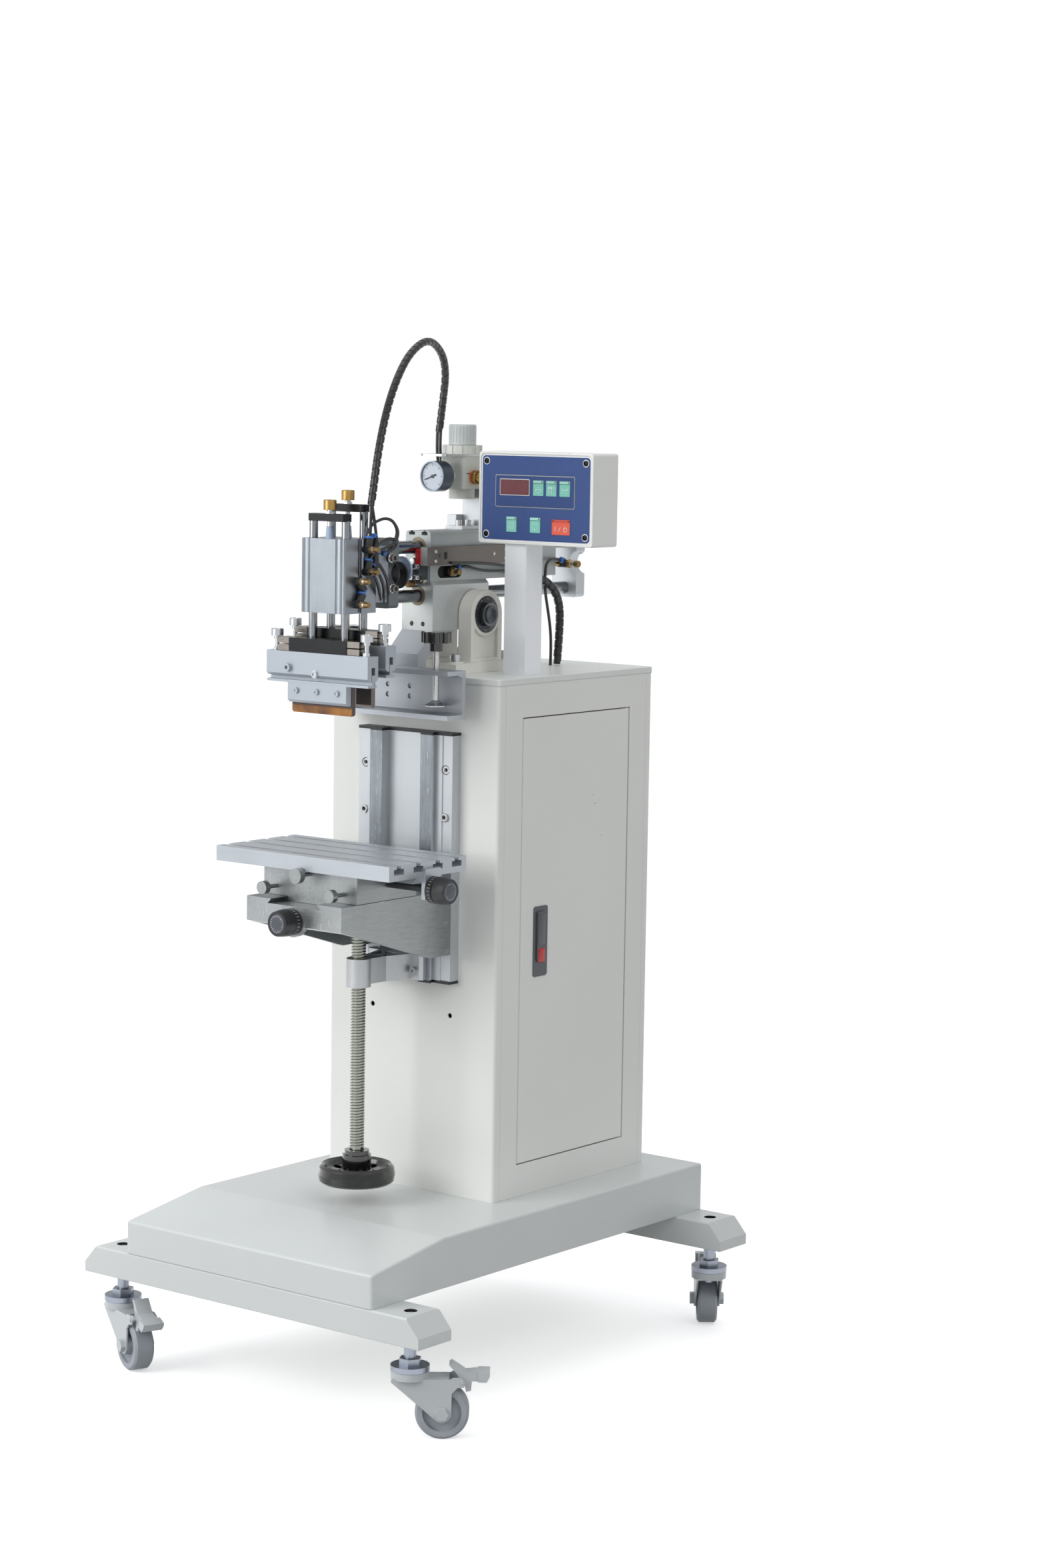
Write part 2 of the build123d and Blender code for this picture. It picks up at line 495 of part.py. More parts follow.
# Saddle: block that slides front to back in the knee and carries the table on its own way.
with BuildPart() as saddle:
    block(-saddle_half, saddle_half, saddle_y0, saddle_y1, knee_z1 + slack, saddle_z1)
    with BuildSketch(facing(saddle_y0)) as saddle_tail:
        with BuildLine():
            tail_low = way_half_low - way_slope * slack - 1.4 * slide_fit
            tail_top = way_half_top - way_slope * 0.8 - 1.4 * slide_fit
            Polyline((-tail_low, way_floor + slack), (tail_low, way_floor + slack),
                     (tail_top, knee_z1 + 0.8), (-tail_top, knee_z1 + 0.8), close=True)
        make_face()
    extrude(amount=-(saddle_y1 - saddle_y0))
    with BuildSketch(Plane.YZ) as table_way:
        with BuildLine():
            Polyline((tongue_mid - tongue_low, tongue_z0), (tongue_mid + tongue_low, tongue_z0),
                     (tongue_mid + tongue_top, saddle_z1 + 0.01), (tongue_mid - tongue_top, saddle_z1 + 0.01),
                     close=True)
        make_face()
    extrude(amount=saddle_half + 1, both=True, mode=Mode.SUBTRACT)
    block(-11.0, 11.0, front + 150, front + 168, cross_z - 8, way_floor + 1)
    along_y(0, front + 140, front + 180, cross_z, cross_d / 2 + run_fit, Mode.SUBTRACT)
    along_x(-saddle_half - 1, saddle_half + 1, feed_y, feed_z, cross_d / 2 + run_fit, Mode.SUBTRACT)
    for screw_x, screw_up, head_r in ((-60.0, 12.5, 8.7), (60.0, 12.5, 8.7), (0.0, 34.0, 10.3)):
        along_y(screw_x, front + 100, saddle_y0 + 1, knee_z1 + screw_up, 3.0)
        along_y(screw_x, front + 92, front + 101, knee_z1 + screw_up, head_r)
saddle.part.label = "saddle"
export_step(saddle.part, "parts/saddle.step")

# Worktable: T-slotted plate with its tongue in the saddle and an end bracket for the feed screw.
with BuildPart() as worktable:
    with BuildSketch(Plane.YZ) as table_section:
        with BuildLine():
            foot_low = tongue_low - tongue_slope * slack - 1.3 * slide_fit
            foot_top = tongue_top - tongue_slope * (table_z1 - table_t - saddle_z1) - 1.3 * slide_fit
            Polyline((table_y0, table_z1 - table_t), (tongue_mid - foot_top, table_z1 - table_t),
                     (tongue_mid - foot_low, tongue_z0 + slack), (tongue_mid + foot_low, tongue_z0 + slack),
                     (tongue_mid + foot_top, table_z1 - table_t),
                     (table_y1, table_z1 - table_t), (table_y1, table_z1), (table_y0, table_z1), close=True)
        make_face()
        for i in range(4):
            slot_y = table_y0 + slot_pitch * (i + 0.5)
            with Locations((slot_y, table_z1 - slot_neck_h / 2)):
                Rectangle(slot_neck, slot_neck_h + 0.02, mode=Mode.SUBTRACT)
            with Locations((slot_y, table_z1 - slot_neck_h - slot_h / 2)):
                Rectangle(slot_wide, slot_h, mode=Mode.SUBTRACT)
    extrude(amount=table_half, both=True)
    block(table_half, table_half + 6.5, feed_y - 16, feed_y + 16, feed_z - 12, 714.0)
    along_x(table_half - 1, table_half + 8, feed_y, feed_z, cross_d / 2 + run_fit, Mode.SUBTRACT)
worktable.part.label = "worktable"
export_step(worktable.part, "parts/worktable.step")

# Feed knobs: graduated ring and tapered grip on a screw; one points forward, one to the right.
with BuildPart() as knob_blank:
    with BuildSketch(Plane.XZ) as knob_section:
        with BuildLine():
            Polyline((0, 0), (18.0, 0), (18.0, 9.0), (16.5, 10.0), (18.5, 12.0), (18.0, 20.0), (16.8, 29.0),
                     (15.8, 30.0), (13.5, 30.0), (13.5, 29.5), (0, 29.5), close=True)
        make_face()
    revolve(axis=Axis.Z)
    with BuildSketch(Plane.XY) as feed_screw:
        Circle(cross_d / 2)
    extrude(amount=-112.0)
knob_front = knob_blank.part.rotate(Axis.X, 90).moved(Location((0, knee_front - 3 - slack, cross_z)))
knob_front.label = "front_knob"
export_step(knob_front, "parts/front_knob.step")
with BuildPart() as right_blank:
    add(knob_blank.part)
    with BuildSketch(Plane.XY.offset(-110)) as feed_tail:
        Circle(cross_d / 2)
    extrude(amount=-120.0)
knob_right = right_blank.part.rotate(Axis.Y, 90)
knob_right = knob_right.moved(Location((table_half + 6.5 + slack, feed_y, feed_z)))
knob_right.label = "right_knob"
export_step(knob_right, "parts/right_knob.step")

# Pillow blocks: cast housings with mounting feet, outer bearing rings and cap screws.
with BuildPart() as pillow_blocks:
    for side in (-1, 1):
        side_yz = Plane.YZ.offset(side * pillow_x0)
        with BuildSketch(side_yz) as foot:
            with BuildLine():
                Polyline((pillow_y0, cab_top), (pillow_y1, cab_top), (pillow_y1, cab_top + 13.5),
                         (pillow_y1 - 54, cab_top + 15.7), (pillow_y0 + 54, cab_top + 15.7),
                         (pillow_y0, cab_top + 13.5), close=True)
            make_face()
        extrude(amount=side * (pillow_x1 - pillow_x0))
        with BuildSketch(Plane.YZ.offset(side * 28.5)) as arch:
            with Locations((tilt_y, tilt_z)):
                Circle(34.0)
            with Locations((tilt_y, cab_top + 6)):
                Rectangle(68.0, 12.0)
            make_hull()
        extrude(amount=side * 22.5)
        x_a, x_b = sorted((side * 24.0, side * 58.0))
        along_x(x_a, x_b, tilt_y, tilt_z, ring_in + run_fit, Mode.SUBTRACT)
        x_a, x_b = sorted((side * 49.4, side * 58.0))
        along_x(x_a, x_b, tilt_y, tilt_z, ring_r, Mode.SUBTRACT)
        with BuildSketch(Plane.YZ.offset(side * 51.0)) as pocket:
            with Locations((tilt_y, (cab_top + 20.0 + tilt_z) / 2)):
                Rectangle(50.0, tilt_z - cab_top - 20.0)
            with Locations((tilt_y, tilt_z)):
                Circle(30.5, mode=Mode.SUBTRACT)
        extrude(amount=-side * 4.0, mode=Mode.SUBTRACT)
        for pad_y in (front + 374.5, front + 479.9):
            upright(side * 39.75, pad_y, cab_top + 10, cab_top + 16.5, 11.0)
            upright(side * 39.75, pad_y, cab_top + 16, cab_top + 26.5, 8.5)
            upright(side * 39.75, pad_y, cab_top + 21, cab_top + 27, 4.2, Mode.SUBTRACT)
pillow_blocks.part.label = "pillow_blocks"
export_step(pillow_blocks.part, "parts/pillow_blocks.step")

# Control post and box.
with BuildPart() as control_post:
    with BuildSketch(Plane.XY.offset(cab_top)) as post_plan:
        with Locations(((post_x0 + post_x1) / 2, (post_y0 + post_y1) / 2)):
            Rectangle(post_x1 - post_x0, post_y1 - post_y0)
            Rectangle(post_x1 - post_x0 - 5, post_y1 - post_y0 - 5, mode=Mode.SUBTRACT)
    extrude(amount=box_z0 - cab_top)
control_post.part.label = "control_post"
export_step(control_post.part, "parts/control_post.step")

with BuildPart() as control_box:
    with BuildSketch(facing(box_y1)) as box_outline:
        with Locations(((box_x0 + box_x1) / 2, (box_z0 + box_z1) / 2)):
            RectangleRounded(box_x1 - box_x0, box_z1 - box_z0, 4.0)
    extrude(amount=box_y1 - box_y0)
    fillet(control_box.faces().sort_by(Axis.Y)[0].edges(), 1.2)
    with BuildSketch(facing(box_y0)) as panel_face:
        with Locations(((box_x0 + box_x1) / 2, (box_z0 + box_z1) / 2)):
            RectangleRounded(box_x1 - box_x0 - 2 * panel_rim, box_z1 - box_z0 - 2 * panel_rim, 7.0)
    extrude(amount=-panel_deep, mode=Mode.SUBTRACT)
control_box.part.label = "control_box"
export_step(control_box.part, "parts/control_box.step")

# Head bodies: grey stroke housing above, cream lower body on the tilt shaft.
with BuildPart() as head_upper_body:
    with BuildSketch(facing(head_front)) as upper_outline:
        with Locations((0, (upper_z0 + upper_z1) / 2)):
            RectangleRounded(2 * upper_half, upper_z1 - upper_z0, 5.0)
        with Locations((0, upper_z0 + 3.0)):
            Rectangle(2 * upper_half, 6.0)
        for side in (-1, 1):
            with Locations((side * head_slot_x, upper_z1 - head_lip / 2)):
                Rectangle(head_neck, head_lip + 0.02, mode=Mode.SUBTRACT)
            with Locations((side * head_slot_x, upper_z1 - head_lip - head_slot_high / 2)):
                Rectangle(head_slot_wide, head_slot_high, mode=Mode.SUBTRACT)
        with Locations((0, rod_z[1])):
            Circle(rod_d / 2 + run_fit, mode=Mode.SUBTRACT)
        with Locations((0, piston_z)):
            Circle(piston_d / 2 + slack, mode=Mode.SUBTRACT)
    extrude(amount=-(upper_back - head_front))
    along_y(0, head_front - 1, head_front + wiper_t, rod_z[1], wiper_d / 2, Mode.SUBTRACT)
    with BuildSketch(Plane.YZ.offset(upper_half + 1)) as port_slot:
        with Locations((front + 381.0, piston_z)):
            SlotOverall(52.0, 16.4)
    extrude(amount=-8.0, mode=Mode.SUBTRACT)
    along_x(upper_half - 8, upper_half + 9, front + 382, piston_z, 4.0)
    along_x(upper_half + 2, upper_half + 6, front + 382, piston_z, 6.0)
head_upper_body.part.label = "head_upper_body"
export_step(head_upper_body.part, "parts/head_upper_body.step")

with BuildPart() as head_lower_body:
    with BuildSketch(facing(head_front)) as lower_outline:
        with BuildLine():
            Polyline((-lower_half, lower_z0), (lower_half, lower_z0), (lower_half, upper_z0 - 5.4),
                     (upper_half, upper_z0), (-upper_half, upper_z0), (-lower_half, upper_z0 - 5.4), close=True)
        make_face()
    extrude(amount=-(lower_back - head_front))
    along_y(0, head_front - 1, lower_back + 1, rod_z[0], rod_d / 2 + run_fit, Mode.SUBTRACT)
    along_y(0, head_front - 1, head_front + wiper_t, rod_z[0], wiper_d / 2, Mode.SUBTRACT)
    along_x(-lower_half - 1, lower_half + 1, tilt_y, tilt_z, 12.5, Mode.SUBTRACT)
    for side in (-1, 1):
        along_y(side * 10.0, head_front - 1, head_front + 8, lower_z0 + 9.0, 3.3, Mode.SUBTRACT)
head_lower_body.part.label = "head_lower_body"
export_step(head_lower_body.part, "parts/head_lower_body.step")

# Stroke end cap: eight-sided plate round the piston rod with its screws, and both rod wipers.
with BuildPart() as stroke_end_cap:
    with BuildSketch(facing(head_front)) as cap_outline:
        with BuildLine():
            Polyline((-12.0, piston_z - 10.5), (-8.0, piston_z - 14.5), (8.0, piston_z - 14.5),
                     (21.5, piston_z - 16.5), (21.5, piston_z + 13.0), (9.0, piston_z + 13.0),
                     (4.0, piston_z + 19.4), (-4.0, piston_z + 19.4), (-12.0, piston_z + 11.0), close=True)
        make_face()
    extrude(amount=cap_t)
    for side in (-1, 1):
        for screw_z in (piston_z - cap_screw_z, piston_z + cap_screw_z):
            along_y(side * cap_screw_x, head_front - cap_t - 3.2, head_front - cap_t, screw_z, 2.8)
            along_y(side * cap_screw_x, head_front - cap_t - 4, head_front - cap_t - 1, screw_z, 1.3, Mode.SUBTRACT)
    along_y(16.5, head_front - cap_t - 8.0, head_front - cap_t, piston_z - 11.5, 4.2)
    along_y(16.5, head_front - cap_t - 9.0, head_front - cap_t - 5.5, piston_z - 11.5, 2.0, Mode.SUBTRACT)
    along_y(1.0, head_front - cap_t - stop_neck, head_front - cap_t, piston_z - 15.5, 5.0)
    along_y(1.0, head_front - cap_t - stop_tip, head_front - cap_t - stop_neck - 1.0, piston_z - 15.5, 5.2)
    along_y(1.0, head_front - cap_t - stop_neck - 1.5, head_front - cap_t - stop_neck + 0.5, piston_z - 15.5, 3.4)
    along_y(-2.0, head_front - cap_t - 6.5, head_front - cap_t, piston_z + 15.0, 4.3)
    along_y(0, head_front - cap_t - 1, head_front + 1, piston_z, piston_d / 2 + run_fit, Mode.SUBTRACT)
    for rz in rod_z:
        along_y(0, head_front - 0.6, head_front + wiper_t, rz, wiper_d / 2)
        along_y(0, head_front - 0.6, head_front - 0.1, rz, rod_d / 2 + 2.4, Mode.SUBTRACT)
        along_y(0, head_front - cap_t - 1, head_front + wiper_t + 1, rz, rod_d / 2 + run_fit, Mode.SUBTRACT)
stroke_end_cap.part.label = "stroke_end_cap"
export_step(stroke_end_cap.part, "parts/stroke_end_cap.step")

# Tilt shaft with the inner bearing rings.
with BuildPart() as pivot_shaft:
    along_x(-60.4, 60.4, tilt_y, tilt_z, 12.5)
    for side in (-1, 1):
        x_a, x_b = sorted((side * 28.0, side * 58.5))
        along_x(x_a, x_b, tilt_y, tilt_z, ring_in)
pivot_shaft.part.label = "pivot_shaft"
export_step(pivot_shaft.part, "parts/pivot_shaft.step")

# Channel bracket: bent support from the head down to the screen channel.
with BuildPart() as channel_bracket:
    with BuildSketch(Plane.YZ) as bracket_side:
        with BuildLine():
            Polyline((head_front, lower_z0), (channel_y1, lower_z0 - 30.0), (channel_y1, channel_z0 + 15.0),
                     (front + 325.5, channel_z0 + 15.0), (front + 325.5, lower_z0 - 39.4),
                     (front + 337.5, lower_z0 - 27.4), (front + 337.5, lower_z0 - 15.0),
                     (front + 350.0, lower_z0 - 7.0), (front + 365.0, lower_z0 - 7.0),
                     (front + 365.0, lower_z0), close=True)
        make_face()
    extrude(amount=lower_half, both=True)
channel_bracket.part.label = "channel_bracket"
export_step(channel_bracket.part, "parts/channel_bracket.step")

# Screen channel: extruded rail open to the front that holds the screen frame.
with BuildPart() as screen_channel:
    with BuildSketch(Plane.YZ) as channel_section:
        with BuildLine():
            Polyline((channel_y0, channel_z0), (channel_y1, channel_z0), (channel_y1, channel_z1),
                     (channel_y0, channel_z1), (channel_y0, channel_z1 - 6.0),
                     (channel_y1 - channel_wall - 9, channel_z1 - 6.0),
                     (channel_y1 - channel_wall, channel_z1 - 10.0),
                     (channel_y1 - channel_wall, channel_z0 + channel_wall + 2),
                     (channel_y1 - channel_wall - 2, channel_z0 + channel_wall),
                     (channel_y0, channel_z0 + channel_wall), close=True)
        make_face()
    extrude(amount=channel_half, both=True)
    for side in (-1, 1):
        upright(side * clamp_x, clamp_y, channel_z1 - 20, channel_z1 + 1, clamp_d / 2 + run_fit, Mode.SUBTRACT)
        for screw_z in (channel_z0 + 26.0, channel_z0 + 40.0):
            along_y(side * 19.7, channel_y0, channel_y1 - channel_wall + 2.5, screw_z, 3.6, Mode.SUBTRACT)
screen_channel.part.label = "screen_channel"
export_step(screen_channel.part, "parts/screen_channel.step")

# Clamp screws: star knob, threaded rod and swivel pad.
for clamp_name, side in (("clamp_screw_left", -1), ("clamp_screw_right", 1)):
    with BuildPart() as clamp_screw:
        with BuildSketch(Plane.XY.offset(star_z0)) as star:
            with Locations((side * clamp_x, clamp_y)):
                Circle(16.0)
                with PolarLocations(16.5, 7):
                    Circle(4.8)
        extrude(amount=star_z1 - star_z0)
        chamfer(clamp_screw.faces().sort_by(Axis.Z)[-1].edges(), 1.0)
        upright(side * clamp_x, clamp_y, star_neck_z, star_z0 + 1, 10.0)
        upright(side * clamp_x, clamp_y, clamp_pad_z + 2, star_neck_z + 0.5, clamp_d / 2)
        with BuildSketch(Plane.XZ) as pad_section:
            with BuildLine():
                Polyline((0, clamp_pad_z), (15.5, clamp_pad_z), (15.5, clamp_pad_z + 1.5),
                         (8.0, clamp_pad_z + 5.0), (5.0, clamp_pad_z + 8.0), (0, clamp_pad_z + 8.0), close=True)
            make_face()
        pad = revolve(pad_section.sketch, axis=Axis.Z, mode=Mode.PRIVATE)
        add(pad.moved(Location((side * clamp_x, clamp_y, 0))))
    clamp_screw.part.label = clamp_name
    export_step(clamp_screw.part, "parts/" + clamp_name + ".step")

# Sensor rail: bent stainless strip on the head's side with its end leg and target block.
with BuildPart() as sensor_rail:
    block(27.5, 30.0, front + 325.0, front + 560.0, 1103.0, 1128.0)
    block(18.0, 30.0, front + 322.5, front + 325.0, 1103.0, 1128.0)
    block(upper_half, 27.5, front + 360.0, front + 372.0, 1108.0, 1120.0)
    block(upper_half, 27.5, front + 530.0, front + 542.0, 1108.0, 1120.0)
    block(9.6, 18.5, front + 321.6, front + 327.0, 1104.5, 1125.5)
    along_x(29.0, 31.0, front + 352.0, 1116.0, 3.0)
sensor_rail.part.label = "sensor_rail"
export_step(sensor_rail.part, "parts/sensor_rail.step")

# Regulator: post, body with bowl and bracket, knob and pressure gauge.
with BuildPart() as regulator_post:
    block(-15.0, 15.0, front + 452.2, front + 468.0, upper_z1 + 4, reg_z1 - 11.0)
    block(-15.0, 15.0, front + 415.0, front + 470.0, upper_z1, upper_z1 + 5)
    block(-30.0, -14.0, front + 437.0, front + 462.0, upper_z1, upper_z1 + 19.5)
    for screw_y in (front + 421.0, front + 441.0):
        upright(4.0, screw_y, upper_z1 + 4, upper_z1 + 13, 4.6)
        upright(4.0, screw_y, upper_z1 + 9, upper_z1 + 14, 2.2, Mode.SUBTRACT)
regulator_post.part.label = "regulator_post"
export_step(regulator_post.part, "parts/regulator_post.step")

with BuildPart() as regulator_body:
    with BuildSketch(Plane.XY.offset(reg_z0)) as reg_plan:
        with Locations((reg_x, reg_y - 1.5)):
            RectangleRounded(2 * reg_half, 2 * reg_half, 5.0)
    extrude(amount=reg_z1 - reg_z0)
    upright(0, reg_y, bowl_z, reg_z0 + 1, 18.0)
    with BuildSketch(Plane.XY.offset(reg_z1)) as reg_plate:
        with Locations((0, reg_y - 20.0)):
            RectangleRounded(46.0, 94.0, 8.0)
    extrude(amount=ring_z0 - reg_z1)
    upright(0, reg_y, ring_z0, knob_z0, 26.0)
    with Locations((0, reg_y, 0)):
        with PolarLocations(26.3, 12):
            with Locations((0, 0, (ring_z0 + knob_z0) / 2)):
                Box(2.0, 8.0, knob_z0 - ring_z0)
    along_y(0, gauge_y1, front + 412.0, gauge_z, 7.0)
    along_x(20.0, 34.0, reg_y, gauge_z - 1.5, 8.0)
    along_x(24.0, 30.0, reg_y, gauge_z - 1.5, 9.5)
    along_x(hose_x - 8.0, -20.0, reg_y, gauge_z - 1.5, 7.0)
    elbow_mouth = Plane(origin=(hose_x - 1.0, reg_y, gauge_z - 1.5), z_dir=(0, -0.7, 1))
    with BuildSketch(elbow_mouth) as left_elbow:
        Circle(5.6)
    extrude(amount=13.0)
regulator_body.part.label = "regulator_body"
export_step(regulator_body.part, "parts/regulator_body.step")

with BuildPart() as regulator_knob:
    upright(0, reg_y, knob_z0 + slack, knob_z1, 19.0)
    chamfer(regulator_knob.faces().sort_by(Axis.Z)[-1].edges(), 1.5)
    with Locations((0, reg_y, 0)):
        with PolarLocations(19.4, 24):
            with Locations((0, 0, (knob_z0 + knob_z1) / 2)):
                Cylinder(0.9, knob_z1 - knob_z0 - 8.0, mode=Mode.SUBTRACT)
regulator_knob.part.label = "regulator_knob"
export_step(regulator_knob.part, "parts/regulator_knob.step")

with BuildPart() as gauge:
    along_y(0, gauge_y0, gauge_y1, gauge_z, gauge_r)
    fillet(gauge.faces().sort_by(Axis.Y)[-1].edges(), 3.0)
    along_y(0, gauge_y0 - 1, gauge_y0 + 2.5, gauge_z, gauge_r - 2.0, Mode.SUBTRACT)
gauge.part.label = "gauge"
export_step(gauge.part, "parts/gauge.step")

# Carriage: two guide rods between front and rear plates, moved by the piston rod.
with BuildPart() as guide_rods:
    for rz in rod_z:
        along_y(0, car_y1, tail_y0, rz, rod_d / 2)
guide_rods.part.label = "guide_rods"
export_step(guide_rods.part, "parts/guide_rods.step")

for car_name, car_near, car_far, bite_z in (("carriage_front_plate", car_y0, car_y1, rod_z[0] + 33.4),
                                            ("carriage_rear_plate", tail_y0, tail_y1, rod_z[0] + 37.0)):
    with BuildPart() as car_plate:
        with BuildSketch(facing(car_far)) as car_outline:
            with Locations((0, (car_z0 + car_z1) / 2)):
                RectangleRounded(2 * car_half, car_z1 - car_z0, 5.0)
            with Locations((car_half + 4.0, bite_z)):
                Circle(17.0, mode=Mode.SUBTRACT)
        extrude(amount=car_far - car_near)
        for screw_z in (rod_z[0] + 12.5, rod_z[1] - 13.3):
            along_y(11.0, car_far - 2, car_far + 4, screw_z, 6.0)
            along_y(11.0, car_far + 3, car_far + 8, screw_z, 4.5)
            along_y(11.0, car_far + 5, car_far + 9, screw_z, 2.4, Mode.SUBTRACT)
    car_plate.part.label = car_name
    export_step(car_plate.part, "parts/" + car_name + ".step")

# Piston rod with its bumper, lock nut, stop disc and graduated dial.
with BuildPart() as piston_rod:
    along_y(0, car_y1, front + 440.0, piston_z, piston_d / 2)
    with BuildSketch(Plane.YZ) as bumper_section:
        with BuildLine():
            Polyline((car_y1, piston_z), (car_y1 + 10.0, piston_z), (car_y1 + 10.0, piston_z + 6.0),
                     (car_y1 + 8.0, piston_z + 17.5), (car_y1 + 5.5, piston_z + 17.5),
                     (car_y1, piston_z + 10.0), close=True)
        make_face()
    revolve(axis=Axis((0, car_y1, piston_z), (0, 1, 0)))
    with BuildSketch(facing(car_y1 + 16.0)) as rod_hex:
        with Locations((0, piston_z)):
            RegularPolygon(6.0, 6)
    extrude(amount=7.0)
    along_y(0, car_y1 + 22.0, car_y1 + 25.0, piston_z - 3.0, 18.5)
    along_y(0, car_y1 + 30.0, car_y1 + 33.0, piston_z + 4.0, 18.5)
    along_y(0, car_y1 + 25.0, car_y1 + 30.0, piston_z, 7.0)
    block(-3.0, 9.0, car_y1 + 33.0, car_y1 + 36.0, piston_z + 5.0, piston_z + 9.0)
piston_rod.part.label = "piston_rod"
export_step(piston_rod.part, "parts/piston_rod.step")

# Print units: the front one carries the squeegee, the rear one the flood blade.
# Each port is a height and the elbow's turn up from the rear, in degrees.
units = (("squeegee", 0.0, 0.0, 9.0, ((rod_z[0] - 3.5, 60.0), (rod_z[0] + 27.3, -50.0))),
         ("flood", unit_pitch, unit_lift, -9.0, ((rod_z[0] + 39.3, 80.0), (rod_z[0] + 69.0, 80.0))))
for unit_name, dy, dz, port_dy, ports in units:
    uy = unit_y + dy

    # Twin-rod cylinder block: two round columns in its front, a tapered bushing and two flow controls.
    with BuildPart() as cylinder:
        with BuildSketch(Plane.XY.offset(unit_z0)) as cyl_plan:
            with Locations((0, uy + bulge_face / 2)):
                RectangleRounded(2 * unit_half, unit_t - bulge_face, 3.0)
            for side in (-1, 1):
                with Locations((side * unit_rod_x, uy + bulge_r - unit_t / 2)):
                    Circle(bulge_r)
            for side in (-1, 1):
                with Locations((side * unit_rod_x, uy)):
                    Circle(unit_rod_d / 2 + run_fit, mode=Mode.SUBTRACT)
        extrude(amount=unit_z1 - unit_z0)
        with Locations((0, uy, (unit_z1 + bush_z) / 2)):
            Cone(bush_d / 2, bush_tip_d / 2, bush_z - unit_z1)
        upright(0, uy, unit_z1 - 8.0, bush_z + 1, stop_d / 2 + slack, Mode.SUBTRACT)
        for port_z, port_turn in ports:
            port_y = uy + port_dy
            along_x(unit_half - 1, unit_half + 9.5, port_y, port_z, port_wide_d / 2)
            with BuildSketch(Plane.YZ.offset(unit_half + 9.5)) as port_hex:
                with Locations((port_y, port_z)):
                    RegularPolygon(port_d / 2, 6)
            extrude(amount=4.5)
            along_x(unit_half + 14.0, unit_half + 17.0, port_y, port_z, 4.4)
            along_x(unit_half + 17.0, unit_half + 23.5, port_y, port_z, port_tip_d / 2)
            elbow = Plane(origin=(unit_half + 4.5, port_y, port_z), z_dir=(0.1, cos(radians(port_turn)),
                                                                           sin(radians(port_turn))))
            with BuildSketch(elbow) as port_elbow:
                Circle(port_wide_d / 2 - 0.4)
            extrude(amount=15.0)
        mount_end = car_y0 if dy > 0 else uy + unit_pitch - unit_t / 2 + bulge_face
        block(-20.0, 20.0, uy + unit_t / 2, mount_end, rod_z[0] - 4.5, rod_z[1] + 4.7)
    cylinder.part.label = unit_name + "_cylinder"
    export_step(cylinder.part, "parts/" + unit_name + "_cylinder.step")

    # Slide: two chrome rods, top bar with its stop screw and knob, lower bar with clamp blocks.
    with BuildPart() as slide:
        for side in (-1, 1):
            upright(side * unit_rod_x, uy, foot_z1 - 5.0 + dz, bar_z0 + 1 + dz, unit_rod_d / 2)
            block(*sorted((side * (foot_half - 1), side * clip_half)), uy - 22, uy + 1, foot_z0 + dz, foot_z0 + 8.2 + dz)
            block(*sorted((side * (foot_half - 1), side * clip_half)), uy - 22, uy + 1, foot_z0 + 9.8 + dz, foot_z1 + dz)
        with BuildSketch(Plane.XY.offset(bar_z0 + dz)) as top_bar:
            with Locations((0, uy)):
                RectangleRounded(2 * bar_half, 17.0, 5.0)
        extrude(amount=bar_z1 - bar_z0)
        upright(0, uy, bush_z - 3.5 + min(dz, 2.0), bar_z0 + 1 + dz, stop_d / 2)
        with BuildSketch(Plane.XY.offset(bar_z1 + dz)) as lock_nut:
            with Locations((0, uy)):
                RegularPolygon(6.2, 6)
        extrude(amount=3.0)
        upright(0, uy, bar_z1 - 1 + dz, bar_z1 + 6.0 + dz, 3.6)
        upright(0, uy, bar_z1 + 5.0 + dz, bar_z1 + 18.5 + dz, 8.75)
        fillet(slide.faces().sort_by(Axis.Z)[-1].edges(), 1.5)
        block(-foot_half, foot_half, uy - 23, uy + 8, foot_z0 + dz, foot_z1 + dz)
    slide.part.label = unit_name + "_slide"
    export_step(slide.part, "parts/" + unit_name + "_slide.step")

    # Holder: slotted rail with chamfered lower edges on a T-shaped foot, and two levelling screws.
    with BuildPart() as holder:
        hz = holder_z0 + dz
        with BuildSketch(Plane.YZ) as holder_section:
            with BuildLine():
                Polyline((uy - holder_near, hz + 3.5), (uy - holder_near, foot_z0 - 0.4 + dz),
                         (uy - holder_far, foot_z0 - 0.4 + dz), (uy - holder_far, hz + 3.5),
                         (uy - holder_far - 3.5, hz), (uy - 10.0, hz), (uy - 10.0, hz - 4.8), (uy - 6.0, hz - 4.8),
                         (uy - 6.0, hz - 8.3), (uy - 23.0, hz - 8.3), (uy - 23.0, hz - 4.8), (uy - 15.5, hz - 4.8),
                         (uy - 15.5, hz), (uy - holder_near + 3.5, hz), close=True)
            make_face()
        extrude(amount=holder_half, both=True)
        for side in (-1, 1):
            block(*sorted((side * (holder_half - 14), side * (holder_half + 1))), uy - 16.3, uy - 9.2,
                  hz + 8.5, hz + 18.5, Mode.SUBTRACT)
            block(*sorted((side * (holder_half - 14), side * (holder_half + 1))), uy - 16.3, uy - 15.5,
                  hz - 0.5, hz + 9.0, Mode.SUBTRACT)
            upright(side * 79.3, uy - 14.5, foot_z0 - 1.0 + dz, foot_z0 + 19.0 + dz, 3.0)
            with BuildSketch(Plane.XY.offset(foot_z0 - 1.0 + dz)) as level_nut:
                with Locations((side * 79.3, uy - 14.5)):
                    RegularPolygon(5.2, 6)
            extrude(amount=5.0)
            upright(side * 79.3, uy - 14.5, foot_z0 + 14.0 + dz, foot_z0 + 19.0 + dz, 4.6)
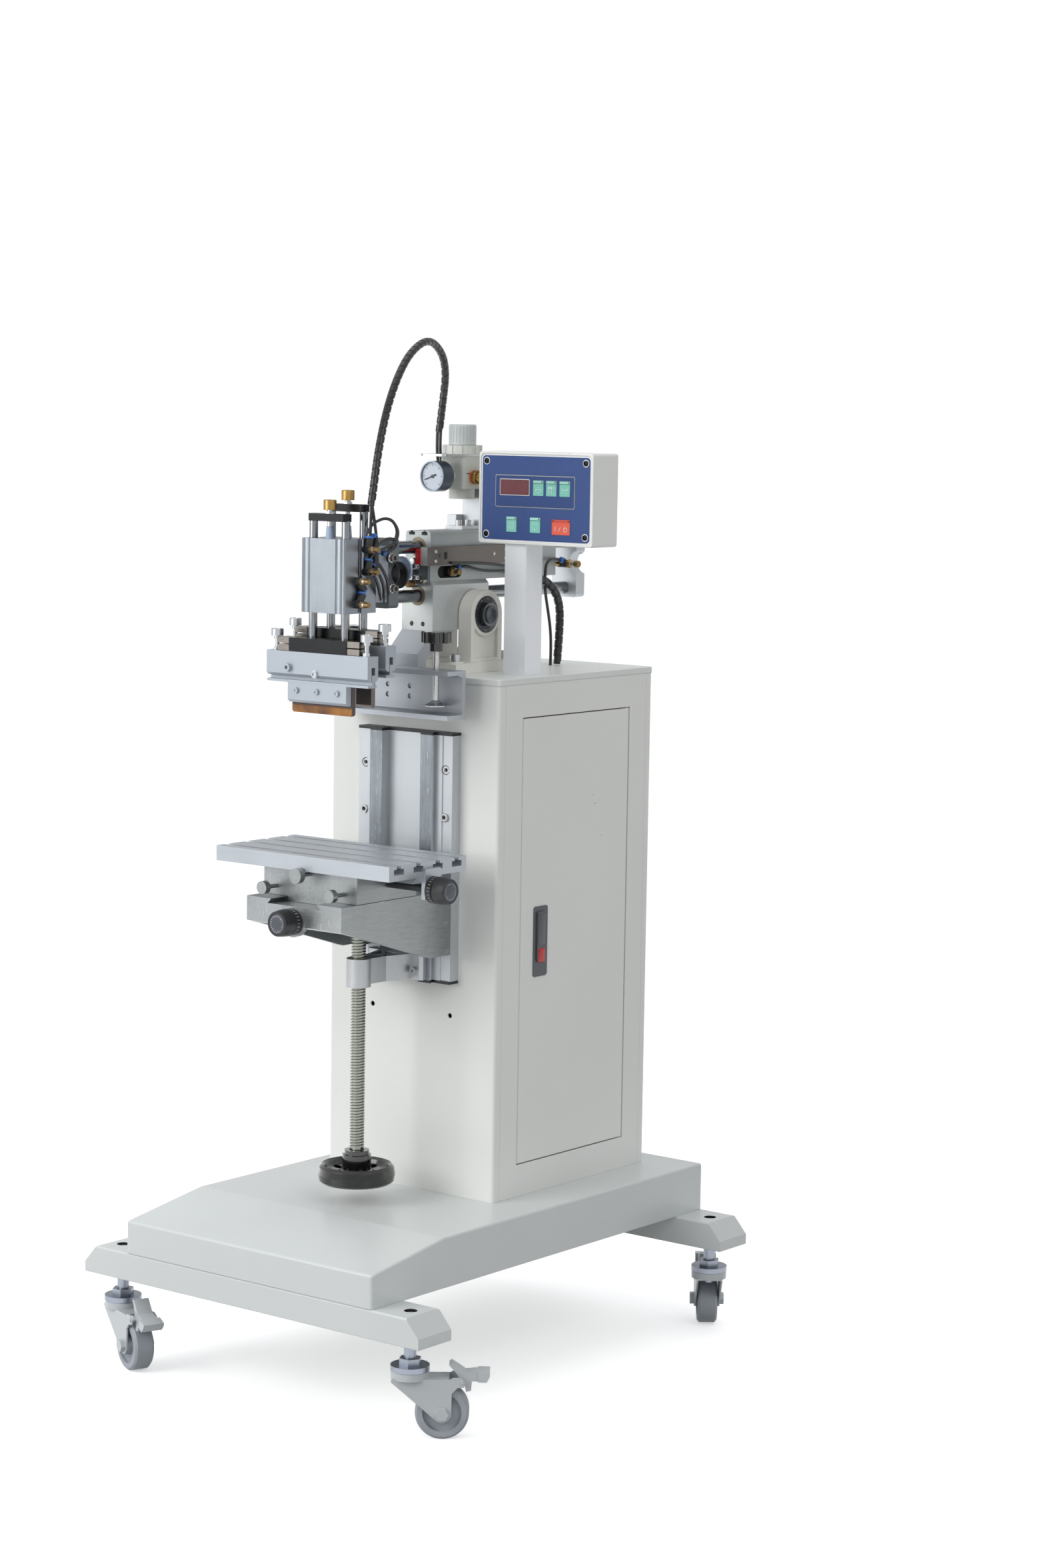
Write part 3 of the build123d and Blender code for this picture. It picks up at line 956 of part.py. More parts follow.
            upright(side * 79.3, uy - 14.5, foot_z0 + 18.5 + dz, foot_z0 + 27.5 + dz, 8.5)
        along_y(-50.0, uy - holder_near - 5, uy - holder_near + 1, hz + 11.7, 5.5)
        along_y(-50.0, uy - holder_near - 6, uy - holder_near - 2, hz + 11.7, 2.6, Mode.SUBTRACT)
        if dy == 0:
            with BuildSketch(Plane.YZ) as jaw_section:
                with BuildLine():
                    Polyline((uy - 23.5, hz - 8.3), (uy - 23.5, hz - 31.0), (uy - 19.5, hz - 34.6),
                             (uy - 12.8, hz - 34.6), (uy - 12.8, hz - 8.3), close=True)
                make_face()
            extrude(amount=51.9, both=True)
            block(-51.9, 51.9, uy - 5.8, uy - 3.4, hz - 32.0, hz - 8.3)
            block(-51.9, 51.9, uy - 8.0, uy - 3.4, hz - 8.8, hz - 6.0)
            for screw_x in (-36.0, 0.0, 36.0):
                along_y(screw_x, uy - 26.5, uy - 23, hz - 18.3, 4.0)
                along_y(screw_x, uy - 27.5, uy - 24.5, hz - 18.3, 2.0, Mode.SUBTRACT)
        else:
            block(-51.9, 51.9, uy - 19.0, uy - 9.0, hz - 18.0, hz - 8.0)
    holder.part.label = unit_name + "_holder"
    export_step(holder.part, "parts/" + unit_name + "_holder.step")

    # Blade: polyurethane squeegee strip in front, rounded metal flood blade behind.
    with BuildPart() as blade:
        if dy == 0:
            block(-53.0, 53.0, uy - 12.8, uy - 5.8, holder_z0 - 48.5, holder_z0 - 8.8)
            chamfer(blade.edges().filter_by(Axis.Y).group_by(Axis.Z)[0], 2.5)
        else:
            flood_z = holder_z0 + dz - 8.3
            with BuildSketch(Plane.YZ) as flood_section:
                with BuildLine():
                    Polyline((uy - 9.0, flood_z), (uy - 9.0, flood_z - 40.0), (uy - 7.0, flood_z - 43.5),
                             (uy - 3.0, flood_z - 43.5), (uy - 1.0, flood_z - 40.0), (uy - 1.0, flood_z), close=True)
                make_face()
                fillet(flood_section.vertices().group_by(Axis.Y)[0], 1.8)
            extrude(amount=52.0, both=True)
    blade.part.label = unit_name + "_blade"
    export_step(blade.part, "parts/" + unit_name + "_blade.step")

# Hoses: the head's looped hose with its four thin tails, and the wrapped hose behind the control post.
loop_route = ((hose_x, front + 417.0, 1283.0), (-25, front + 419.0, 1328.0), (-17.5, front + 415.5, 1366.0),
              (-8.5, front + 395.0, 1394.0), (3, front + 352.0, 1411.0), (14, front + 303.0, 1393.0),
              (23.5, front + 266.0, 1362.0), (32.5, front + 233.0, 1318.5), (39, front + 208.5, 1264.0),
              (43, front + 194.5, 1214.0), hose_tail)
tail_routes = [((44.6, front + 188.0, 1187.5), (45.0, front + 187.4, 1165.0), (44.7, front + 185.7, 1144.8)),
               ((42.2, front + 192.0, 1187.5), (46.0, front + 197.5, 1150.0), (47.0, front + 197.0, 1132.0),
                (45.6, front + 189.5, 1121.5), (44.7, front + 186.0, 1115.8))]
for side in (-1, 1):
    top_x, top_y = hose_x + side * 1.7, front + 417.0 + side * 1.4
    tail_routes.append(((top_x, top_y, 1283.5), (top_x - 1.0, top_y - 1.5, 1247.0),
                        (top_x - 1.0, top_y + 7.2, 1233.4)))
with BuildPart() as head_hose:
    for route, tube_r in [(loop_route, hose_r)] + [(tail, thin_r) for tail in tail_routes]:
        with BuildLine(mode=Mode.PRIVATE) as head_route:
            FilletPolyline(*route, radius=bend_radii(route))
        with BuildSketch(Plane(head_route.line @ 0, z_dir=head_route.line % 0)) as head_tube:
            Circle(tube_r)
        sweep(path=head_route.line)
head_hose.part.label = "head_hose"
export_step(head_hose.part, "parts/head_hose.step")

wrap_route = ((42, front + 600.0, cab_top + 1.5), (42, front + 606.0, 1005.0), (39, front + 608.0, 1045.0),
              (36, front + 590.0, 1070.0), (34, front + 560.0, 1081.0), (32, front + 525.0, 1086.0))
with BuildPart() as rear_hose:
    with BuildLine(mode=Mode.PRIVATE) as rear_route:
        FilletPolyline(*wrap_route, radius=bend_radii(wrap_route))
    with BuildSketch(Plane(rear_route.line @ 0, z_dir=rear_route.line % 0)) as rear_tube:
        Circle(wrap_r)
    sweep(path=rear_route.line)
rear_hose.part.label = "rear_hose"
export_step(rear_hose.part, "parts/rear_hose.step")
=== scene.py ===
import bpy
import math
from mathutils import Matrix, Quaternion, Vector


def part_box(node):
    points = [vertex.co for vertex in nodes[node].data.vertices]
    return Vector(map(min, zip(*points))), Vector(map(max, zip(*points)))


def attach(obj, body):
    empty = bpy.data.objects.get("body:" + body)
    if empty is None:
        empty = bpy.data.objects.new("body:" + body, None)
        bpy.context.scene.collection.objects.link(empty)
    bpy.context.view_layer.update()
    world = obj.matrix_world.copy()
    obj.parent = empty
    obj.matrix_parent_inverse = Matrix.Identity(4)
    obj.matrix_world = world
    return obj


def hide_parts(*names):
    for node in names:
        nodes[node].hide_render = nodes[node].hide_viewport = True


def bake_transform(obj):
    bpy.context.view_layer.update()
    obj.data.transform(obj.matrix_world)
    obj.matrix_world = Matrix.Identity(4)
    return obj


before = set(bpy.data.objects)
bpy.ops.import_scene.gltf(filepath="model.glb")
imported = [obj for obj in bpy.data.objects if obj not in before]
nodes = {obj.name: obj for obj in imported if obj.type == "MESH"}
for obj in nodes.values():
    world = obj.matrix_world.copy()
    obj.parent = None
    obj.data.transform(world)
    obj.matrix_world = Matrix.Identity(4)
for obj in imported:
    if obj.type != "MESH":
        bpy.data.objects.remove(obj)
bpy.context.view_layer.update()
MM = 0.001
FRONT = -385.6            # front face of the base box, as in the solids
bpy.context.view_layer.update()

# Camera: long lens from the front right, a little above the worktable, rolled slightly.
yaw, pitch, roll = 0.6656, -0.1142, 0.0154
ahead = Vector((-math.sin(yaw) * math.cos(pitch), math.cos(yaw) * math.cos(pitch), math.sin(pitch)))
level = ahead.cross(Vector((0, 0, 1))).normalized()
upward = level.cross(ahead)
cam_x = level * math.cos(roll) + upward * math.sin(roll)
cam_y = upward * math.cos(roll) - level * math.sin(roll)
camera_data = bpy.data.cameras.new("camera")
camera_data.lens = 77.79
camera_data.sensor_width = 36.0
camera_data.clip_end = 80.0
camera = bpy.data.objects.new("camera", camera_data)
bpy.context.scene.collection.objects.link(camera)
place = Matrix((cam_x, cam_y, -ahead)).transposed().to_4x4()
place.translation = Vector((2.9866, (-3225.6 + FRONT) * MM, 1.3357))
camera.matrix_world = place
bpy.context.scene.camera = camera


# Studio: white where the camera and bright metal see it, softer and uneven as a light, with
# a key lamp from the front left, a weak fill from the right and one overhead.
def srgb(text):
    """Linear colour of a hex sRGB text."""
    parts = [int(text[i:i + 2], 16) / 255 for i in (1, 3, 5)]
    return tuple(p / 12.92 if p <= 0.04045 else ((p + 0.055) / 1.055) ** 2.4 for p in parts) + (1.0,)


def feed(tree, node, inputs):
    """Sets a node's inputs; an input that is a socket is linked."""
    for key, value in inputs.items():
        if isinstance(value, bpy.types.NodeSocket):
            tree.links.new(value, node.inputs[key])
        else:
            node.inputs[key].default_value = value


def add_node(tree, kind, inputs={}, **settings):
    """One node with its settings and inputs."""
    node = tree.nodes.new(kind)
    for key, value in settings.items():
        setattr(node, key, value)
    feed(tree, node, inputs)
    return node


def maths(tree, operation, first, second):
    """Two values brought together in one node."""
    return add_node(tree, "ShaderNodeMath", {0: first, 1: second}, operation=operation)


def ranged(tree, value, low, high, least=0.0, most=1.0):
    """A value that runs from least to most while the given one goes from low to high."""
    return add_node(tree, "ShaderNodeMapRange", {"Value": value, "From Min": low, "From Max": high,
        "To Min": least, "To Max": most}).outputs["Result"]


def colour_mix(tree, share, under, over):
    """Colour with so much of another laid over it."""
    return add_node(tree, "ShaderNodeMix", {"Factor": share, "A": under, "B": over},
        data_type="RGBA").outputs["Result"]


world = bpy.data.worlds.new("studio")
bpy.context.scene.world = world
world.use_nodes = True
sky = world.node_tree
sky.nodes.clear()
toward = add_node(sky, "ShaderNodeTexCoord").outputs["Generated"]
height_of = add_node(sky, "ShaderNodeSeparateXYZ", {"Vector": toward})
dome = ranged(sky, height_of.outputs["Z"], -0.2, 0.9, 0.34, 0.70)
side_on = ranged(sky, height_of.outputs["X"], -1.0, 1.0, 1.25, 0.80)
dome_level = maths(sky, "MULTIPLY", dome, side_on)
dome_light = add_node(sky, "ShaderNodeBackground",
    {"Color": srgb("#F6F8FA"), "Strength": dome_level.outputs[0]})
backdrop = add_node(sky, "ShaderNodeBackground", {"Color": (1.0, 1.0, 1.0, 1.0), "Strength": 1.0})
rays = add_node(sky, "ShaderNodeLightPath")
mirrored = maths(sky, "MAXIMUM", rays.outputs["Is Glossy Ray"], rays.outputs["Is Transmission Ray"])
mirrored_share = maths(sky, "MULTIPLY", mirrored.outputs[0], 0.35)
seen = maths(sky, "MAXIMUM", rays.outputs["Is Camera Ray"], mirrored_share.outputs[0])
both_skies = add_node(sky, "ShaderNodeMixShader",
    {0: seen.outputs[0], 1: dome_light.outputs[0], 2: backdrop.outputs[0]})
add_node(sky, "ShaderNodeOutputWorld", {"Surface": both_skies.outputs[0]})
bpy.context.scene.view_settings.view_transform = "Standard"
for light_name, spot, aim, size, power in (
        ("key_light", (-1.2, -3.0, 1.9), (0.0, 0.0, 0.8), 2.2, 62.0),
        ("fill_light", (2.5, -0.8, 2.4), (0.0, 0.0, 1.0), 1.4, 15.0),
        ("top_light", (-0.2, 0.1, 3.4), (0.0, 0.0, 0.6), 2.2, 11.0)):
    lamp_data = bpy.data.lights.new(light_name, "AREA")
    lamp_data.shape = "SQUARE"
    lamp_data.size = size
    lamp_data.energy = power
    lamp = bpy.data.objects.new(light_name, lamp_data)
    lamp.location = spot
    lamp.rotation_euler = (Vector(aim) - Vector(spot)).to_track_quat("-Z", "Y").to_euler()
    bpy.context.scene.collection.objects.link(lamp)
bpy.ops.object.select_all(action="DESELECT")
bpy.ops.mesh.primitive_plane_add(size=60.0, location=(0, 0, -0.0005))
floor = bpy.context.object
floor.name = "studio_floor"
floor_paint = bpy.data.materials.new("studio_floor")
floor_paint.use_nodes = True
floor_shader = floor_paint.node_tree.nodes["Principled BSDF"]
floor_tree = floor_paint.node_tree
floor_rays = add_node(floor_tree, "ShaderNodeLightPath")
floor_seen = maths(floor_tree, "MAXIMUM", floor_rays.outputs["Is Camera Ray"],
    floor_rays.outputs["Is Glossy Ray"])
floor_tone = colour_mix(floor_tree, floor_seen.outputs[0], srgb("#A9A9A9"), srgb("#FAFAFA"))
floor_glow = maths(floor_tree, "MULTIPLY", floor_seen.outputs[0], 0.5)
feed(floor_tree, floor_shader, {"Roughness": 0.95, "Specular IOR Level": 0.05, "Base Color": floor_tone,
    "Emission Strength": floor_glow.outputs[0], "Emission Color": (1.0, 1.0, 1.0, 1.0)})
floor.data.materials.append(floor_paint)


# Base: folded steel covers and channel feet in a cool white powder coat, baked, with a fine orange
# peel, eased bends and small chips down to grey primer on the edges that get kicked.
def new_finish(name):
    """A named material: itself, its node tree, its shader and the piece's own coordinates."""
    material = bpy.data.materials.new(name)
    material.use_nodes = True
    tree = material.node_tree
    coords = add_node(tree, "ShaderNodeTexCoord").outputs["Object"]
    return material, tree, tree.nodes["Principled BSDF"], coords


def noise(tree, vector, scale, detail):
    """Cloudy noise, about so many spots per metre."""
    return add_node(tree, "ShaderNodeTexNoise", {"Vector": vector, "Scale": scale, "Detail": detail}
        ).outputs["Fac"]


def dimmed(colour, share):
    """A hex colour brought down to a share of its light."""
    return [c * share for c in srgb(colour)[:3]] + [1.0]


def tone_between(tree, factor, low, dark, high, light):
    """Colour that runs from dark to light while the factor goes from low to high."""
    ramp = add_node(tree, "ShaderNodeValToRGB", {"Fac": factor})
    for stop, place, colour in zip(ramp.color_ramp.elements, (low, high), (dark, light)):
        stop.position = place
        stop.color = colour
    return ramp.outputs["Color"]


def relief(tree, shader, height, strength, depth, edge):
    """Fine relief on the skin, over edges eased by so many mm."""
    soft = add_node(tree, "ShaderNodeBevel", {"Radius": edge * MM}, samples=4)
    bump = add_node(tree, "ShaderNodeBump", {
        "Height": height, "Strength": strength, "Distance": depth, "Normal": soft.outputs["Normal"]})
    feed(tree, shader, {"Normal": bump.outputs["Normal"]})


def uneven_gloss(tree, shader, factor, low, high, smooth, dull):
    """Roughness that drifts from smooth to dull while the factor goes from low to high."""
    feed(tree, shader, {"Roughness": ranged(tree, factor, low, high, smooth, dull)})


def enamel(name, colour, peel=0.05, peel_scale=900.0, rough=0.42, chips=False, edge=1.0):
    """Powder coat or enamel: fine peel, faint drift of tone, soft edges, chips where asked."""
    material, tree, shader, coords = new_finish(name)
    drift = noise(tree, coords, 5.0, 4.0)
    colour_out = tone_between(tree, drift, 0.3, dimmed(colour, 0.955), 0.7, srgb(colour))
    if chips:
        cells = add_node(tree, "ShaderNodeTexVoronoi", {
            "Vector": coords, "Scale": 60.0, "Randomness": 1.0})
        sparse = noise(tree, coords, 9.0, 2.0)
        near = maths(tree, "LESS_THAN", cells.outputs["Distance"], 0.055)
        some = maths(tree, "GREATER_THAN", sparse, 0.665)
        both = maths(tree, "MULTIPLY", near.outputs[0], some.outputs[0])
        colour_out = colour_mix(tree, both.outputs[0], colour_out, srgb("#77736A"))
    feed(tree, shader, {"Base Color": colour_out, "Coat Weight": 0.12, "Coat Roughness": 0.25})
    relief(tree, shader, noise(tree, coords, peel_scale, 2.0), peel, 0.0006, edge)
    uneven_gloss(tree, shader, drift, 0.0, 1.0, rough - 0.06, rough + 0.06)
    return material


def finish_solid(finish, *names):
    """Gives whole solids their finish."""
    for name in names:
        node = nodes[name]
        if not node.material_slots:
            node.data.materials.append(finish)
        for slot in node.material_slots:
            slot.material = finish


cool_white = enamel("cool_white_powder_coat", "#D8DCDB", peel=0.07, rough=0.3, chips=True, edge=1.5)
finish_solid(cool_white, "base_box", "front_foot_beam", "rear_foot_beam")


# Casters: pressed steel forks in light grey enamel on zinc-plated threaded stems, with moulded grey
# wheels that have a matt, slightly dusty tread. The holes over the stems look black from above; that
# black is painted shade on the stems' tops and the holes' walls.
EVEN = (200.0, 200.0, 200.0)      # grain alike in all directions


def bare_metal(name, colour, rough=0.3, grain=EVEN, strength=0.12, contrast=0.12, scratches=0.0,
        edge=0.35, bare=1.0, stain=None):
    """Metal: grain drawn out along one axis (lines per metre), soft smudges, scratches or stains."""
    material, tree, shader, coords = new_finish(name)
    drawn = add_node(tree, "ShaderNodeMapping", {"Vector": coords, "Scale": grain})
    lines = noise(tree, drawn.outputs["Vector"], 1.0, 3.0)
    smudge = noise(tree, coords, 22.0, 5.0)
    mixed = add_node(tree, "ShaderNodeMix", {"Factor": 0.45, "A": lines, "B": smudge},
        data_type="FLOAT").outputs["Result"]
    colour_out = tone_between(tree, mixed, 0.3, dimmed(colour, 1 - contrast), 0.7, srgb(colour))
    if stain:
        spread = add_node(tree, "ShaderNodeTexNoise", {
            "Vector": coords, "Scale": 34.0, "Detail": 6.0, "Roughness": 0.7})
        patch = ranged(tree, spread.outputs["Fac"], 0.48, 0.7, 0.0, 0.75)
        colour_out = colour_mix(tree, patch, colour_out, srgb(stain))
    if scratches:
        crossed = add_node(tree, "ShaderNodeMapping", {
            "Vector": coords, "Rotation": (0.4, 0.9, 0.6), "Scale": (900.0, 14.0, 60.0)})
        scores = noise(tree, crossed.outputs["Vector"], 1.0, 2.0)
        fine = ranged(tree, scores, 0.66, 0.74, 0.0, scratches)
        colour_out = colour_mix(tree, fine, colour_out, srgb("#F0F0EE"))
    feed(tree, shader, {"Base Color": colour_out, "Metallic": bare})
    relief(tree, shader, lines, strength, 0.0004, edge)
    uneven_gloss(tree, shader, mixed, 0.3, 0.7, max(0.02, rough - 0.07), rough + 0.09)
    return material


def moulded(name, colour, rough=0.4, skin=0.06, skin_scale=700.0, coat=0.0, edge=0.5):
    """Plastic or rubber: moulded skin with a fine grain and slightly uneven gloss."""
    material, tree, shader, coords = new_finish(name)
    grain = noise(tree, coords, skin_scale, 3.0)
    dust = noise(tree, coords, 40.0, 5.0)
    dusty = [min(1.0, c * 1.15 + 0.006) for c in srgb(colour)[:3]] + [1.0]
    feed(tree, shader, {"Base Color": tone_between(tree, dust, 0.35, srgb(colour), 0.8, dusty),
        "Coat Weight": coat, "Coat Roughness": 0.08})
    relief(tree, shader, grain, skin, 0.0005, edge)
    uneven_gloss(tree, shader, dust, 0.0, 1.0, max(0.03, rough - 0.08), rough + 0.1)
    return material


zinc = bare_metal("zinc_plated_steel", "#C4C5C5", 0.26, (300.0,) * 3, 0.08)
fork_grey = enamel("grey_fork_enamel", "#C6CBCE", peel=0.08, rough=0.35, edge=0.8)
wheel_grey = moulded("grey_caster_wheel", "#A2A8AF", 0.5, 0.08, edge=1.5)
stem_steel = bare_metal("grey_plated_stem", "#9BA1AC", 0.35, (300.0,) * 3, 0.08)
# One black serves as painted shade in holes, slots, sockets and recesses, and as dark print and indicator
# windows.
shade_and_print_black = moulded("painted_shade_and_black_print", "#101113", 0.7)
finish_solid(stem_steel, "caster_stems")


def refinish(node_name, finish, test):
    """Faces of a solid whose middle passes the test get another finish; y counts from the base's front."""
    mesh = nodes[node_name].data
    mesh.materials.append(finish)
    for face in mesh.polygons:
        middle = nodes[node_name].matrix_world @ face.center / MM
        if test(middle.x, middle.y - FRONT, middle.z):
            face.material_index = len(mesh.materials) - 1


STEM_X, STEM_TOP = 259.0, 152.8
HOLE_LOW, HOLE_HIGH, HOLE_REACH = 161.6, 165.2, 9.2
# Painted shade: the stems' tops and the walls of the beams' holes over them are painted black for the dark
# inside of the holes.
refinish("caster_stems", shade_and_print_black, lambda x, y, z: z > STEM_TOP)
for beam in ("front_foot_beam", "rear_foot_beam"):
    low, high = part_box(beam)
    stem_y = (low[1] + high[1]) / 2 / MM - FRONT
    refinish(beam, shade_and_print_black, lambda x, y, z: (
        math.hypot(abs(x) - STEM_X, y - stem_y) < HOLE_REACH and HOLE_LOW < z < HOLE_HIGH))
for tag in ("fl", "fr", "bl", "br"):
    finish_solid(fork_grey, "caster_" + tag + "_fork", "caster_" + tag + "_brake")
    finish_solid(wheel_grey, "caster_" + tag + "_wheel")


# Cabinet: welded sheet steel body and door in ivory powder coat, warmer than the base, under a
# grey-white top plate. The flush latch near the door's front edge has a dark grey case with a pressed
# lever and a red rocker.
def at(x, y, z):
    """Point in metres; y counts back from the front of the base box."""
    return Vector((x, y + FRONT, z)) * MM


def edit_all():
    """Opens the active piece for editing with all of it selected."""
    bpy.ops.object.mode_set(mode="EDIT")
    bpy.ops.mesh.select_all(action="SELECT")


def placed(piece, finish):
    """A piece as it leaves the bench: place in its mesh, faces outwards, round sides smooth."""
    edit_all()
    bpy.ops.mesh.normals_make_consistent(inside=False)
    bpy.ops.object.mode_set(mode="OBJECT")
    bpy.ops.object.transform_apply(location=True, rotation=True, scale=True)
    bpy.ops.object.shade_smooth_by_angle(angle=math.radians(32))
    piece.data.materials.append(finish)
    return piece


TO_FRONT, TO_RIGHT, UP = (0, -1, 0), (1, 0, 0), (0, 0, 1)


def plate(name, centre, width, height, depth, finish, facing=TO_FRONT, corner=0.0, edge=0.0, turn=0.0):
    """Flat piece: a plane with rounded corners, raised towards facing, its front rim eased; sizes in mm."""
    out = Vector(facing).normalized()
    stand = out.to_track_quat("Z", "Y") @ Quaternion(UP, math.radians(turn))
    bpy.ops.object.select_all(action="DESELECT")
    bpy.ops.mesh.primitive_plane_add(size=1.0, location=centre, rotation=stand.to_euler())
    piece = bpy.context.object
    piece.name = name
    piece.scale = (width * MM, height * MM, 1.0)
    bpy.ops.object.transform_apply(location=False, rotation=False, scale=True)
    edit_all()
    if corner:
        bpy.ops.mesh.bevel(offset=corner * MM, segments=4, affect="VERTICES")
    bpy.ops.mesh.extrude_region_move(TRANSFORM_OT_translate={"value": out * depth * MM})
    if edge:
        bpy.ops.mesh.bevel(offset=edge * MM, segments=2)
    return placed(piece, finish)


def turned(name, base, axis, steps, finish, sides=36, turn=0.0):
    """Turned piece: a disc extruded along its axis and resized at each (radius, height) step, in mm."""
    axis = Vector(axis).normalized()
    stand = axis.to_track_quat("Z", "Y") @ Quaternion(UP, math.radians(turn))
    radius, height = steps[0]
    bpy.ops.object.select_all(action="DESELECT")
    bpy.ops.mesh.primitive_circle_add(vertices=sides, radius=radius * MM, fill_type="NGON",
        location=base + axis * height * MM, rotation=stand.to_euler())
    piece = bpy.context.object
    piece.name = name
    edit_all()
    for wider, higher in steps[1:]:
        bpy.ops.mesh.extrude_region_move(TRANSFORM_OT_translate={"value": axis * (higher - height) * MM})
        if wider != radius:
            bpy.ops.transform.resize(value=(wider / radius,) * 3,
                center_override=base + axis * higher * MM)
        radius, height = wider, higher
    return placed(piece, finish)


def joined(name, pieces):
    """Several pieces made into one."""
    bpy.ops.object.select_all(action="DESELECT")
    for piece in pieces:
        piece.select_set(True)
    bpy.context.view_layer.objects.active = pieces[0]
    bpy.ops.object.join()
    pieces[0].name = name
    return pieces[0]


ivory = enamel("ivory_powder_coat", "#F0F1ED", peel=0.10, chips=True, edge=1.5)
top_grey = enamel("grey_white_powder_coat", "#E8EBE8", peel=0.08)
latch_grey = moulded("dark_grey_latch_case", "#4A4D52", 0.38)
lock_red = moulded("red_plastic", "#C2181C", 0.35)
finish_solid(ivory, "cabinet_shell", "cabinet_door_frame", "cabinet_door")
finish_solid(top_grey, "cabinet_top_plate")
refinish("cabinet_door", latch_grey, lambda x, y, z: x > 150.2 and 415 < y < 448)
LATCH_X, LATCH_Y = 153.2, 431.5
lever = plate("latch_lever", at(LATCH_X, LATCH_Y, 604), 16.0, 44.0, 0.6, latch_grey, TO_RIGHT, 1.5, 0.3)
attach(lever, "door")
button = joined("latch_button", [
    plate("latch_rocker", at(LATCH_X, LATCH_Y, 567.5), 15.0, 19.0, 0.5, lock_red, TO_RIGHT, 0.8, 0.2),
    plate("latch_rocker", at(LATCH_X + 0.4, LATCH_Y, 571.0), 12.0, 9.0, 0.7, lock_red, TO_RIGHT, 0.8, 0.4)])
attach(button, "door")

# Column rail: extruded aluminium, satin anodised, its front guide faces scuffed by the knee, closed by
# black moulded caps, with a sawn aluminium bracket that holds the lifting nut. Its cap screws sit in
# recesses, but the middle pair stands on the flange.
satin_z = bare_metal("satin_aluminium_upright", "#C4C8CC", 0.42, (900.0, 900.0, 14.0), 0.08, 0.08,
    bare=0.6)
scuffed = bare_metal("scuffed_rail_face", "#979DA3", 0.34, (900.0, 900.0, 20.0), 0.14, 0.42,
    scratches=0.6, bare=0.85)
sawn = bare_metal("sawn_aluminium", "#BDC0C3", 0.4, (260.0, 260.0, 60.0), 0.16, 0.14, bare=0.7)
black_moulded = moulded("black_plastic", "#1B1C1F", 0.42)
finish_solid(satin_z, "column_rail")
finish_solid(black_moulded, "rail_end_caps")
finish_solid(sawn, "spindle_nut_bracket")
refinish("column_rail", scuffed, lambda x, y, z: y < 308.0)
FLANGE_X, RECESS_Y, FLANGE_Y = 72.0, 320.6, 317.2
# Each rail screw has a thin black disc under its head, painted shade for its recess, and a small black disc
# in its head, painted shade for its socket.
parts = []
for x in (-FLANGE_X, FLANGE_X):
    for z, y in ((583.0, RECESS_Y), (762.0, FLANGE_Y), (827.0, RECESS_Y)):
        parts.append(turned("screw_recess", at(x, y, z), TO_FRONT, [(6.4, 0), (6.4, 0.15)], shade_and_print_black,
                28))
        parts.append(turned("rail_screw", at(x, y, z), TO_FRONT,
                [(6.1, 0), (6.1, 2.8), (5.3, 3.5), (3.2, 3.5), (3.0, 1.2)], zinc, 28))
        parts.append(turned("screw_socket", at(x, y - 1.25, z), TO_FRONT, [(2.9, 0), (2.9, 0.1)],
                shade_and_print_black, 6))
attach(joined("rail_screws", parts), "machine_frame")

# Knee: a slide milled from solid aluminium that climbs the rail and carries the saddle. The cutter
# left fine lines and use has left scratches, so both look streaky and a little dull.
milled = bare_metal("milled_aluminium", "#A2A6A7", 0.36, (500.0, 40.0, 500.0), 0.18, 0.30,
    scratches=0.45, bare=0.8)
finish_solid(milled, "knee", "saddle")

# Lifting spindle: bright steel bar, oiled, with a rolled trapezoidal thread between a plain neck and a
# collar. The thread is one ribbon wound up the bar.
def wound(name, profile, pitch, turns, steps, axis="Z"):
    """A ribbon of four corners, (along X, up) in mm, wound into a helix about the axis."""
    bpy.ops.object.select_all(action="DESELECT")
    bpy.ops.mesh.primitive_plane_add(size=1.0, location=(0, 0, 0))
    ribbon = bpy.context.object
    ribbon.name = name
    for corner, (across, up) in zip(ribbon.data.vertices, profile):
        corner.co = Vector((across, 0.0, up)) * MM
    edit_all()
    bpy.ops.mesh.delete(type="ONLY_FACE")
    bpy.ops.object.mode_set(mode="OBJECT")
    winding = ribbon.modifiers.new("winding", "SCREW")
    winding.axis = axis
    winding.screw_offset = pitch * MM
    winding.iterations = turns
    winding.steps = winding.render_steps = steps
    bpy.ops.object.modifier_apply(modifier="winding")
    return ribbon


THREAD_PITCH, CREST, ROOT = 4.0, 10.1, 7.8
THREAD_LOW, THREAD_HIGH = 305.8, 624.0
thread = wound("spindle_thread", [
    (ROOT, 0.18 * THREAD_PITCH), (ROOT, 0.90 * THREAD_PITCH), (CREST, 0.36 * THREAD_PITCH),
    (CREST, 0.68 * THREAD_PITCH)], THREAD_PITCH, int((THREAD_HIGH - THREAD_LOW) / THREAD_PITCH), 30)
SPINDLE_Y = 223
thread.location = at(0, SPINDLE_Y, THREAD_LOW)
spindle_steel = bare_metal("oiled_spindle_steel", "#A5A79F", 0.3, (60.0, 60.0, 300.0), 0.08, 0.15)
placed(thread, spindle_steel)
bar = turned("spindle_bar", at(0, SPINDLE_Y, 0), UP,
    [(7.2, 256.6), (7.9, 257.4), (7.9, 624.2), (15, 624.2), (15, 631.5), (7, 631.5), (7, 644.2)],
    spindle_steel)
spindle = joined("spindle_screw", [bar, thread])
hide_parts("spindle")
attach(spindle, "lift_screw")

# Handwheel: phenolic moulding, keyed to the foot of the spindle. It is glossy black as it leaves the
# press, with soft highlights along its rounded rim.
phenolic = moulded("black_phenolic", "#0D0D0F", 0.16, 0.02, coat=0.7, edge=1.2)
finish_solid(phenolic, "handwheel")

